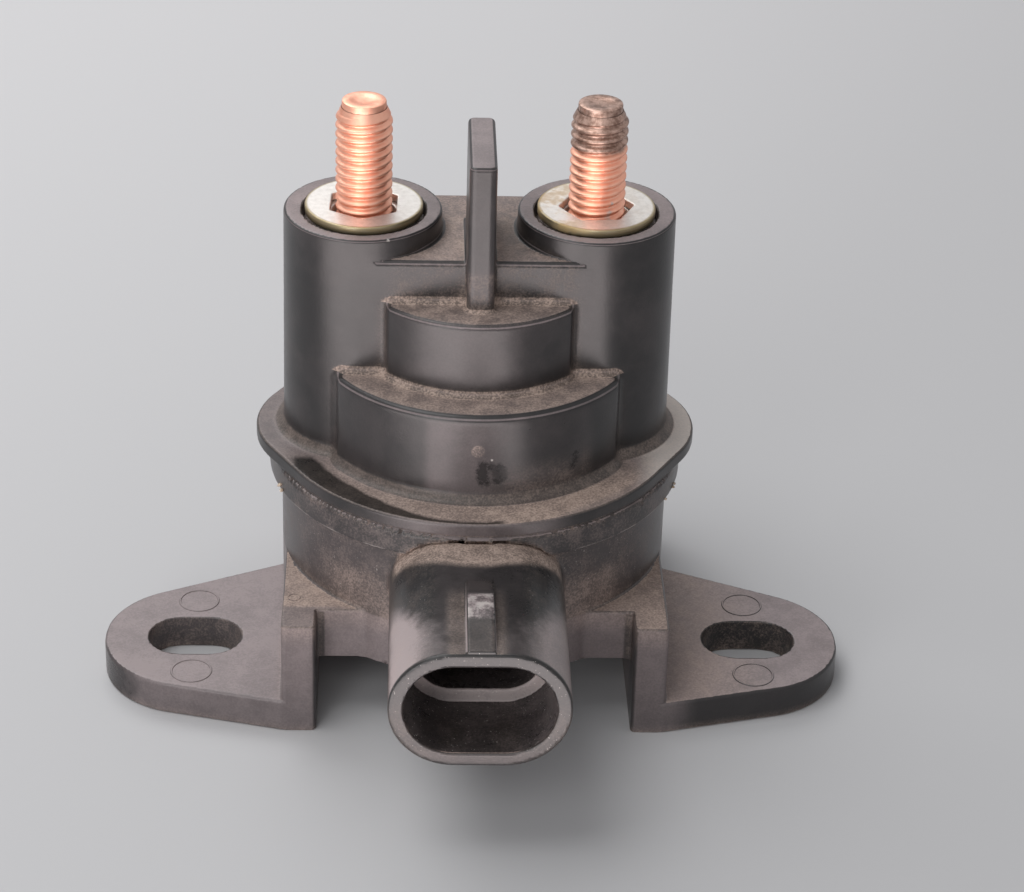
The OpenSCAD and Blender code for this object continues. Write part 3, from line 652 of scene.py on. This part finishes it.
    # Oily marks: a smear on the left of the deck and marks low on the front. Painted shade darkens the drum
    # right of the middle
    inner = n.mixf(n.ramp(n.x, -15.0, -3.0), 19.0, 21.0)
    smear = n.ramp(n.add(n.sub(axis_far, inner), n.swing(mid, 1.2)), -0.4, 0.3)
    smear = n.mul(smear, n.band(n.x, -18.6, 2.0, 1.5), n.ramp(n.y, 0.6, -0.8), deck)
    marks = n.vmax(*[n.near(place, reach, 0.45, 0.7, fine) for place, reach in DRUM_MARKS])
    # Painted shade: the upper drum right of the middle is made darker and glossier
    drum_right_shade = n.mul(drum, n.band(n.x, 5.2, 9.2, 2.0), n.ramp(n.z, 28.5, 31.5))
    oil = n.vmax(smear, n.mul(marks, 0.72), n.mul(drum_right_shade, 0.35))

    # Chalky wear: two nicks and the lip of the collar. The right end of the deck is painted light
    nicks = n.vmax(n.near((1.3, -9.1, 31.2), 0.06, 0.12, 0.2, fine),
                   n.near((-9.4, 0.6, TOWER_Z), 0.05, 0.25, 0.5, fine))
    lip = n.mul(n.band(n.z, COLLAR_Z, COLLAR_Z + 0.2, 0.08), n.ramp(mid, 0.35, 0.6),
                n.inv(n.band(n.x, -5.0, 9.0, 3.0)), n.ramp(n.y, 2.0, -4.0))
    # Painted light: chalk colour lightens the deck's right end
    deck_right_light = n.mul(deck, n.ramp(n.x, 16.0, 19.5))
    chalk_and_light = n.vmax(n.mul(nicks, 0.7), n.mul(lip, 0.22), n.mul(deck_right_light, 0.66))
    return film_and_sheen, dust_and_light, oil, chalk_and_light


def base_zones(n, up, crease, coarse, mid, fine):
    """Where the base carries grey film, tan dust, oily marks and white specks, and where sheen, light and
    shade are painted.
    """
    side = n.inv(up)
    ax = n.math("ABSOLUTE", n.x)
    patchy = n.ramp(coarse, 0.38, 0.62)
    mottle = n.ramp(n.average(mid, fine), 0.42, 0.62)
    specks = n.ramp(n.noise(0.2, 1.0), 0.72, 0.76)

    # Parts of the frame, the body and the ears
    corners = n.mul(n.band(n.z, SKIRT_H - 0.5, SKIRT_H + 0.6, 0.3), up)
    left_front = n.mul(corners, n.ramp(n.y, -8.2, -9.0), n.ramp(n.x, -12.0, -15.0))
    ears = n.mul(n.band(n.z, EAR_T - 0.5, EAR_T + 0.4, 0.3), up)
    # Painted light: the right ear's top gets extra film and dust
    right_ear_light = n.mul(ears, n.band(n.x, 22.0, 24.0, 10.0))
    body = n.mul(n.band(n.z, SKIRT_H, RIM_Z, 0.4), side)
    low = n.mul(n.band(n.z, SKIRT_H, SKIRT_H + 3.0, 3.0), side)
    # Painted shade: the right ear's side faces lose their film
    right_ear_edge_shade = n.mul(n.ramp(n.x, FRAME_X + 0.3, FRAME_X + 3.8), side,
                       n.ramp(n.z, EAR_T + 0.3, EAR_T - 0.1))
    # Painted shade: the front of the legs' inner faces, by the middle wall, lose their film
    inner_leg_shade = n.mul(n.band(ax, SKIRT_IN - 0.7, SKIRT_IN + 0.15, 0.3),
                      n.ramp(n.z, SKIRT_H - 0.1, SKIRT_H - 0.5), side, n.ramp(n.y, -7.0, -8.0))
    slot_l, slot_w = SLOT_L / 2 + 0.1, SLOT_W / 2 + 0.1
    slot = n.mul(n.band(ax, SLOT_X - slot_l, SLOT_X + slot_l, 0.1), n.band(n.y, -slot_w, slot_w, 0.1), side)

    # Parts of the connector, told apart by how deep they lie about its middle line
    shell_r, bore_r, top_z = CONN_H / 2, CONN_H / 2 - CONN_WALL, CONN_Z + CONN_H / 2
    mouth_y = AXIS_Y - MOUTH
    ledge_y = mouth_y + FRONT_DEPTH
    over = n.vmax(n.sub(ax, (CONN_W - CONN_H) / 2), 0.0)
    deep = n.length(over, n.sub(n.z, CONN_Z))
    ahead = n.ramp(n.y, -10.5, -12.0)
    outside = n.mul(n.ramp(deep, shell_r - 0.6, shell_r - 0.3), n.ramp(deep, shell_r + 1.7, shell_r + 1.5),
                    ahead)
    inside = n.mul(n.ramp(deep, bore_r + 0.35, bore_r + 0.15), n.band(n.y, mouth_y + 0.3, -12.0, 0.1),
                   ahead)
    ledge = n.mul(inside, n.band(n.y, ledge_y - 0.3, ledge_y + 0.15, 0.06),
                  n.ramp(deep, bore_r - 0.02, bore_r - 0.14))
    bore = n.sub(inside, ledge)
    mouth = n.mul(n.ramp(n.y, mouth_y + 0.35, mouth_y + 0.15), side)
    bevel = n.mul(mouth, n.ramp(n.nz, 0.1, 0.4))
    top = n.mul(outside, n.ramp(n.nz, 0.2, 0.5))
    root = n.mul(top, n.ramp(n.sub(n.y, n.mul(n.x, n.x, 0.055)), -18.7, -17.2))
    nib_half = NIB_W / 2 + 0.05
    nib = n.mul(n.band(n.x, -nib_half, nib_half, 0.1), n.band(n.z, top_z + 0.2, top_z + 1.8, 0.1),
                n.ramp(n.y, -20.5, -21.0))
    nib_up = n.mul(nib, n.ramp(n.nz, 0.80, 0.95))
    nib_front = n.mul(nib_up, n.ramp(n.y, -29.0, -30.5))
    crest = n.mul(nib_up, n.band(n.scaled(mid, 0.8, n.y), -28.6, -25.2, 0.9))
    beside = n.mul(top, up, n.band(n.x, -2.7, 1.9, 1.0), n.ramp(n.y, -21.5, -25.5), n.inv(nib))

    # Painted sheen on the connector's shoulders, further over its top towards the mouth
    ragged = n.add(n.y, n.swing(mid, 2.5))
    limit = n.add(n.ramp(ragged, -16.5, -26.0, 0.30, 0.74), n.ramp(ragged, -23.0, -29.5, 0.0, 0.18))
    painted_sheen = n.ramp(n.add(n.sub(n.nz, limit), n.swing(mid, 0.22)), 0.13, -0.17)
    painted_sheen = n.mul(painted_sheen, n.ramp(n.nz, 0.0, 0.42), outside, n.ramp(n.y, -17.0, -25.5), n.inv(nib),
                  n.ramp(n.y, mouth_y + 0.35, mouth_y + 0.65))

    # Grey film, thinner on the walls towards the right, partly as painted shade; painted sheen, light and
    # shade are added
    film_and_sheen = n.mul(side, n.sub(n.mixf(n.ramp(n.x, -8.0, 12.0), 0.58, 0.41), n.mul(patchy, 0.08)))
    film_and_sheen = n.thinned(n.scaled(up, 0.92, film_and_sheen), (left_front, 0.3))
    film_and_sheen = n.thinned(n.scaled(right_ear_light, 0.14, film_and_sheen), (right_ear_edge_shade, 0.85), (body, 0.66), (mouth, 0.80),
                     (bevel, 0.3), (outside, 0.87), (inner_leg_shade, 0.8))
    film_and_sheen = n.add(film_and_sheen, n.mul(painted_sheen, n.mixf(n.ramp(n.x, -4.0, 4.0), 1.20, 0.78)))
    # Film in the bore, painted lighter towards the right as a painted sheen
    bore_film_and_sheen = n.mul(n.ramp(n.x, -4.0, 6.0, 0.6, 1.0), n.scaled(mottle, 0.30, 0.28))
    film_and_sheen = n.add(n.mul(film_and_sheen, n.inv(inside)), n.layers((ledge, n.scaled(mottle, 0.5, 0.9)),
                                                      (bore, bore_film_and_sheen)))
    film_and_sheen = n.mixf(crest, n.mixf(nib_up, film_and_sheen, 0.11), n.scaled(mottle, 0.9, 0.70))
    film_and_sheen = n.thinned(film_and_sheen, (slot, n.mixf(n.ramp(n.x, -5.0, 5.0), 0.5, 0.0)))

    # Tan dust, and painted light on the right ear
    dust_and_light = n.layers((corners, n.scaled(left_front, -0.62, 0.85)), (root, 0.75), (right_ear_light, 0.50),
                    (ledge, 0.22), (n.mul(slot, mottle), 0.22), (crease, 0.35), (beside, 0.30),
                    (nib_front, 0.14), (n.mul(body, mottle), 0.08),
                    (n.mul(low, n.ramp(n.y, -4.0, -8.0)), 0.22))
    dust_and_light = n.mul(dust_and_light, n.inv(n.vmax(n.mul(inside, 0.9), n.mul(mouth, 0.8))))

    # Oily marks: in the bore, on the connector's top and on the left ear's end
    blots = n.mul(top, n.ramp(coarse, 0.42, 0.60), n.inv(n.vmax(painted_sheen, root)))
    dark_top = n.mul(top, n.inv(n.vmax(painted_sheen, root, beside)))
    stain = n.mul(n.near((-37.5, -4.5, 1.8), 1.6, 3.2, 3.5, mid), side)
    oil = n.vmax(n.mul(bore, 0.6), n.mul(blots, 0.55), n.mul(dark_top, 0.12), n.mul(stain, 0.75))

    # White specks and worn places, and a little painted sheen
    chalk_and_light = n.vmax(n.mul(specks, n.layers((inside, 0.6), (body, 0.35))),
                   n.mul(crest, n.ramp(mid, 0.48, 0.62), 0.5),
                   n.mul(ledge, 0.22), n.mul(painted_sheen, 0.07))
    return film_and_sheen, dust_and_light, oil, chalk_and_light


def copper(name, oxidised):
    """Rolled copper. The oxidised one is brown on top, with a silvery worn patch lower down."""
    n = Nodes(name)
    fine = n.noise(0.5, 4, 0.7)
    streak = n.noise(1.2, 3, 0.6, stretch=(1, 1, 0.35), shift=5.0)
    color = n.mix(n.ramp(streak, 0.35, 0.7), COPPER_PALE, COPPER_DEEP)
    rough = n.scaled(fine, 0.2, 0.34)
    metal = 1.0
    if oxidised:
        edge = n.add(n.z, n.swing(n.noise(1.5, 2), 0.4))
        top = n.ramp(edge, STUD_TOP - 4.9, STUD_TOP - 4.6)
        brown = n.mix(n.ramp(n.noise(0.8, 4, 0.7, shift=2.0), 0.35, 0.65), OXIDE_DARK, OXIDE_PALE)
        worn = n.ramp(n.noise(1.6, 3, 0.65, stretch=(1, 1, 0.4), shift=8.0), 0.58, 0.66)
        silver = n.mul(worn, n.ramp(n.z, 56.5, 53.0), n.ramp(n.x, STUD_X, STUD_X + 2))
        color = n.mix(top, n.mix(silver, color, WORN_SILVER), brown)
        rough = n.mixf(top, rough, 0.38)
        metal = n.mixf(top, 1.0, 0.8)
    # Darker where other walls are near, as in the thread's hollows
    hollow_dark = n.mul(n.ramp(n.hollow(0.5), 0.35, 0.8), 0.45)
    n.set(color=n.mix(hollow_dark, color, COPPER_HOLLOW), rough=rough, metal=metal)
    sawn = n.ramp(n.z, STUD_TOP - 0.25, STUD_TOP - 0.05, 1.0, 6.0)
    n.bump(n.mul(fine, sawn), 0.2, 0.03)
    return n.mat


def tin(name, rust):
    """Tin plate, brushed on its outer rim, darker in its corners, with specks of rust."""
    n = Nodes(name)
    fine = n.noise(0.6, 4, 0.65)
    far = n.vmin(n.far(-STUD_X, AXIS_Y), n.far(STUD_X, AXIS_Y))
    color = n.mix(n.ramp(fine, 0.3, 0.7), TIN_PALE, TIN_DARK)
    rings = n.noise(0.12, 2, 0.6, stretch=(0.1, 0.1, 1.0))
    rim = n.mul(n.ramp(far, WASHER_R - 0.3, WASHER_R), n.scaled(rings, 0.35, 0.75))
    color = n.mix(rim, color, TIN_RIM)
    spots = n.mul(n.ramp(n.noise(2.2, 3, 0.6, shift=11.0), 0.52 - rust, 0.72 - rust), rust * 8.0)
    if rust:
        spots = n.sat(n.mul(spots, n.ramp(n.x, 12.0, 8.5, 0.15, 1.0)))
    color = n.mix(n.mul(spots, 0.75), color, RUST)
    # Darker where other walls are near, in the washer's corners
    hollow_dark = n.mul(n.ramp(n.hollow(0.8), 0.35, 0.85), 0.55)
    color = n.mix(hollow_dark, color, TIN_HOLLOW)
    rough = n.mixf(spots, n.scaled(fine, 0.2, 0.30), 0.7)
    n.set(color=color, rough=rough, metal=n.mixf(spots, 0.8, 0.3))
    n.bump(n.noise(0.3, 3), 0.2, 0.02)
    return n.mat


def plain(name, color, dark, rough, metal, size=1.0, stretch=(1, 1, 1)):
    """One substance that varies between two shades over patches about size mm across."""
    n = Nodes(name)
    v = n.noise(size, 4, 0.6, stretch=stretch)
    n.set(color=n.mix(n.ramp(v, 0.3, 0.7), color, dark),
          rough=n.add(rough, n.swing(v, 0.15)), metal=metal)
    n.bump(v, 0.2, 0.03)
    return n.mat


def rounded(node, name, mat, centre, turn=0.0, grow=1.0):
    """The node's own shape, turned about its upright axis, its edges rounded as by stamping."""
    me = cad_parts[node].data.copy()
    me.name = name
    bm = bmesh.new()
    bm.from_mesh(me)
    there = Matrix.Translation(Vector(centre) * MM)
    spun = Matrix.Rotation(math.radians(turn), 4, "Z") @ Matrix.Diagonal((grow, grow, 1, 1))
    bmesh.ops.transform(bm, matrix=there @ spun @ there.inverted(), verts=bm.verts)
    bmesh.ops.remove_doubles(bm, verts=bm.verts, dist=2e-6)
    bmesh.ops.dissolve_limit(bm, angle_limit=math.radians(0.6), verts=bm.verts, edges=bm.edges)
    bmesh.ops.recalc_face_normals(bm, faces=bm.faces)
    bm.to_mesh(me)
    bm.free()
    me.materials.clear()
    ob = link(name + "_shape", me)
    mod = ob.modifiers.new("bevel", "BEVEL")
    mod.limit_method = "ANGLE"
    mod.angle_limit = math.radians(28)
    mod.width = WASHER_EDGE * MM
    mod.segments = 2
    mod.use_clamp_overlap = False
    mod.miter_outer = "MITER_ARC"
    dg = bpy.context.evaluated_depsgraph_get()
    made = bpy.data.meshes.new_from_object(ob.evaluated_get(dg))
    bpy.data.objects.remove(ob)
    made.name = name
    finish_piece(name, made, mat, node)


def mesh_of(bm, name):
    """Mesh datablock made from a bmesh, which is then freed."""
    me = bpy.data.meshes.new(name)
    bm.to_mesh(me)
    bm.free()
    return me


def finish_piece(name, made, mat, *nodes):
    """Object for a mesh, smooth between its sharp edges, on the housing."""
    made.materials.clear()
    made.materials.append(mat)
    for p in made.polygons:
        p.use_smooth = True
    made.set_sharp_from_angle(angle=math.radians(38))
    out = link(name, made)
    w = out.modifiers.new("weighted", "WEIGHTED_NORMAL")
    w.keep_sharp = True
    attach(out, "housing")
    if nodes:
        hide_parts(*nodes)


def thread_radius(phase):
    """Radius of a rolled 60 degree thread with rounded crest and root."""
    flat, flank, sharpness = 0.06, 0.86, 0.92
    t = abs(2 * (phase % 1.0) - 1)
    t = 0.5 - 0.5 * math.cos(math.pi * min(max((t - flat) / flank, 0.0), 1.0)) * sharpness
    return STUD_R - THREAD_DEPTH * (1 - t)


def stud(side, name, node, mat):
    """Copper stud: a real right-hand 1 mm thread with a plain nose and a shank below."""
    cx = STUD_X * side
    lo, hi = THREAD_FOOT, STUD_TOP - NOSE_L
    around, per_turn = 72, 12
    start = 0.35 if side < 0 else 0.05
    rows = int((hi - lo) / PITCH + 2) * per_turn
    bm = bmesh.new()
    verts = []
    for j in range(rows + 1):
        line = []
        for i in range(around):
            a = 2 * math.pi * i / around
            z = lo - PITCH + PITCH * j / per_turn + PITCH * i / around
            z = min(max(z, lo), hi)
            r = min(thread_radius(j / per_turn + start), NOSE_R + 0.05 + max(0.0, hi - z) * 0.5)
            line.append(bm.verts.new(((cx + r * math.cos(a)) * MM, (AXIS_Y + r * math.sin(a)) * MM,
                                      z * MM)))
        verts.append(line)

    # The last column of a row runs on into the first column of the row one pitch up
    for j in range(rows):
        for i in range(around - 1):
            bm.faces.new((verts[j][i], verts[j][i + 1], verts[j + 1][i + 1], verts[j + 1][i]))
        if j + per_turn + 1 <= rows:
            bm.faces.new((verts[j][around - 1], verts[j + per_turn][0],
                          verts[j + per_turn + 1][0], verts[j + 1][around - 1]))
    bmesh.ops.remove_doubles(bm, verts=bm.verts, dist=1e-6)
    lathe(bm, cx, [(NOSE_R - 0.3, hi - 0.3), (NOSE_R, hi), (NOSE_R - 0.02, STUD_TOP - 0.16),
                   (NOSE_R - 0.06, STUD_TOP - 0.05), (NOSE_R - 0.17, STUD_TOP),
                   (1.35, STUD_TOP), (1.2, STUD_TOP - 0.07), (0.6, STUD_TOP - 0.1),
                   (0.0, STUD_TOP - 0.13)], 48)
    neck = STUD_R - THREAD_DEPTH
    lathe(bm, cx, [(0.0, HEAD_Z), (HEAD_R, HEAD_Z), (HEAD_R, HEAD_Z + HEAD_T),
                   (SHANK_R, HEAD_Z + HEAD_T), (SHANK_R, lo - 0.4), (neck, lo), (neck, lo + 0.02)], 48)
    bmesh.ops.recalc_face_normals(bm, faces=bm.faces)
    finish_piece(name, mesh_of(bm, name), mat, node)


def lathe(bm, cx, profile, around, cy=AXIS_Y):
    """Turned surface round the axis at (cx, cy), from (radius, height) points in mm."""
    rings = []
    for r, z in profile:
        if r <= 0:
            rings.append([bm.verts.new((cx * MM, cy * MM, z * MM))])
            continue
        rings.append([bm.verts.new(((cx + r * math.cos(2 * math.pi * k / around)) * MM,
                                    (cy + r * math.sin(2 * math.pi * k / around)) * MM,
                                    z * MM)) for k in range(around)])
    for a, b in zip(rings, rings[1:]):
        for k in range(around):
            q = (k + 1) % around
            if len(a) == 1:
                bm.faces.new((a[0], b[q], b[k]))
            elif len(b) == 1:
                bm.faces.new((a[k], a[q], b[0]))
            else:
                bm.faces.new((a[k], a[q], b[q], b[k]))


def ring_mark(bm, x, y, z, radii, rise, around):
    """Thin ring raised from a flat face at height z."""
    heights = (z - 0.02, z + rise, z + rise, z - 0.02)
    lathe(bm, x, list(zip(radii, heights)), around, y)


def mould_marks(mat):
    """Round marks that the ejector pins leave: thin rings on the ears and the corner."""
    bm = bmesh.new()
    for x in (-SLOT_X, SLOT_X):
        for y in (-6.9, 6.9):
            ring_mark(bm, x, y, EAR_T, (1.97, 2.04, 2.16, 2.26), 0.08, 64)
    ring_mark(bm, -19.0, -6.8, SKIRT_H, (0.55, 0.58, 0.66, 0.70), 0.05, 40)
    bmesh.ops.recalc_face_normals(bm, faces=bm.faces)
    finish_piece("mould_marks", mesh_of(bm, "mould_marks"), mat)


def grit(mat):
    """Grains of grit caught under the rim of the cap."""
    rng = np.random.default_rng(7)
    bm = bmesh.new()
    r = COLLAR_R + 0.1
    for degrees, z in GRIT:
        a = math.radians(degrees)
        size = rng.uniform(0.12, 0.22)
        at = Matrix.Translation(Vector((r * math.cos(a), AXIS_Y + r * math.sin(a), z)) * MM)
        made = bmesh.ops.create_icosphere(bm, subdivisions=2, radius=size * MM, matrix=at)
        for v in made["verts"]:
            c = at.translation
            v.co = c + (v.co - c) * float(rng.uniform(0.72, 1.15))
    finish_piece("grit", mesh_of(bm, "grit"), mat)


def dress(mat, *nodes):
    """Give a material to CAD nodes that keep their own shape."""
    for node in nodes:
        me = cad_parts[node].data
        me.materials.clear()
        me.materials.append(mat)


def make_stage():
    """Pale floor whose colour is painted a little brighter towards the rear left, a painted fall-off of
    light.
    """
    me = bpy.data.meshes.new("floor")
    w = FLOOR_REACH_M
    me.from_pydata([(-w, -w, 0), (w, -w, 0), (w, w, 0), (-w, w, 0)], [], [(0, 1, 2, 3)])
    floor = link("floor", me)
    n = Nodes("floor_pale")
    far = n.ramp(n.sub(n.y, n.mul(n.x, 0.5)), -120.0, 330.0)
    n.set(color=n.mix(far, FLOOR_FRONT, FLOOR_BACK), rough=0.7)
    me.materials.append(n.mat)


def area(name, place, aim, width, height, watts, color):
    light = bpy.data.lights.new(name, "AREA")
    light.shape = "RECTANGLE"
    light.size, light.size_y = width * MM, height * MM
    light.energy = watts
    light.color = color
    ob = link(name, light)
    ob.location = Vector(place) * MM
    ob.rotation_euler = (Vector(aim) * MM - ob.location).to_track_quat("-Z", "Y").to_euler()
    ob.visible_camera = False


def make_world():
    """An even world that lights the part less than it shows in reflections and behind it."""
    world = bpy.data.worlds.new("world")
    SCENE.world = world
    world.use_nodes = True
    tree = world.node_tree
    background = tree.nodes["Background"]
    background.inputs[0].default_value = WORLD_COLOR
    ray = tree.nodes.new("ShaderNodeLightPath")
    seen = ray.outputs["Is Camera Ray"]
    for kind in ("Is Glossy Ray", "Is Transmission Ray"):
        either = tree.nodes.new("ShaderNodeMath")
        either.operation = "MAXIMUM"
        tree.links.new(seen, either.inputs[0])
        tree.links.new(ray.outputs[kind], either.inputs[1])
        seen = either.outputs[0]
    level = tree.nodes.new("ShaderNodeMapRange")
    level.inputs["To Min"].default_value = WORLD_DIFFUSE
    level.inputs["To Max"].default_value = WORLD_SEEN
    tree.links.new(seen, level.inputs["Value"])
    tree.links.new(level.outputs[0], background.inputs[1])


make_camera()

base_black = plastic("base_black", base_zones)
moulded("base_shell", base_field,
        lines(*BASE_X, BASE_STEP, FINE_STEP,
              mirrored((FRAME_X, SKIRT_IN, NIB_W / 2, CONN_W / 2), 0.45)),
        lines(*BASE_Y, BASE_STEP, FINE_STEP, BASE_SPANS_Y),
        lines(*BASE_Z, BASE_STEP, BASE_FINE_RISE, BASE_SPANS_Z),
        base_black, "housing_base")
moulded("cap_shell", cap_field,
        lines(*CAP_X, CAP_STEP, FINE_STEP, mirrored((LOWER_X, UPPER_X, FIN_T / 2), 0.5)),
        lines(*CAP_Y, CAP_STEP, FINE_STEP, CAP_SPANS_Y),
        lines(*CAP_Z, CAP_RISE, CAP_FINE_RISE, CAP_SPANS_Z),
        plastic("cap_black", cap_zones), "terminal_cap")

bright = copper("copper_bright", False)
for sign, tag, metal, plate, turn in (
        (-1, "left", bright, tin("tin_clean", 0.0), 28.0),
        (1, "right", copper("copper_oxidised", True), tin("tin_rusty", 0.10), 4.0)):
    axis = (sign * STUD_X, AXIS_Y, 0)
    stud(sign, "thread_" + tag, "stud_" + tag, metal)
    rounded("washer_" + tag, "top_washer_" + tag, plate, axis, turn, WASHER_GROWTH)
    rounded("disc_" + tag, "under_disc_" + tag, plate, axis)
mould_marks(base_black)
grit(plain("grit_tan", (0.55, 0.47, 0.38), (0.30, 0.22, 0.15), 0.8, 0.0, 0.3))

dress(plain("rubber_black", (0.02, 0.02, 0.02), (0.035, 0.034, 0.033), 0.6, 0.0),
      "cap_seal", "stud_seal_left", "stud_seal_right")
dress(plain("steel_plated", (0.55, 0.55, 0.56), (0.40, 0.40, 0.42), 0.35, 1.0, 2.0),
      "yoke_can", "pole_plate", "fixed_core", "plunger", "plunger_rod")
dress(plain("steel_drawn", (0.42, 0.42, 0.44), (0.30, 0.30, 0.31), 0.3, 1.0, 0.5),
      "retaining_clip", "return_spring", "contact_spring")
dress(plain("nylon_natural", (0.62, 0.56, 0.43), (0.54, 0.48, 0.36), 0.5, 0.0, 2.0),
      "coil_bobbin", "bridge_bush_lower", "bridge_bush_upper")
dress(plain("wire_enamelled", (0.42, 0.13, 0.04), (0.24, 0.07, 0.02), 0.25, 0.6, 0.5, (0.1, 0.1, 3.0)),
      "coil_winding", "coil_lead_left", "coil_lead_right")
dress(plain("brass_tinned", (0.78, 0.66, 0.42), (0.62, 0.50, 0.30), 0.3, 1.0, 1.0),
      "blade_terminal_left", "blade_terminal_right")
dress(bright, "contact_bridge")

make_stage()
make_world()
for lamp in LAMPS:
    area(*lamp)
SCENE.view_settings.view_transform = "Standard"
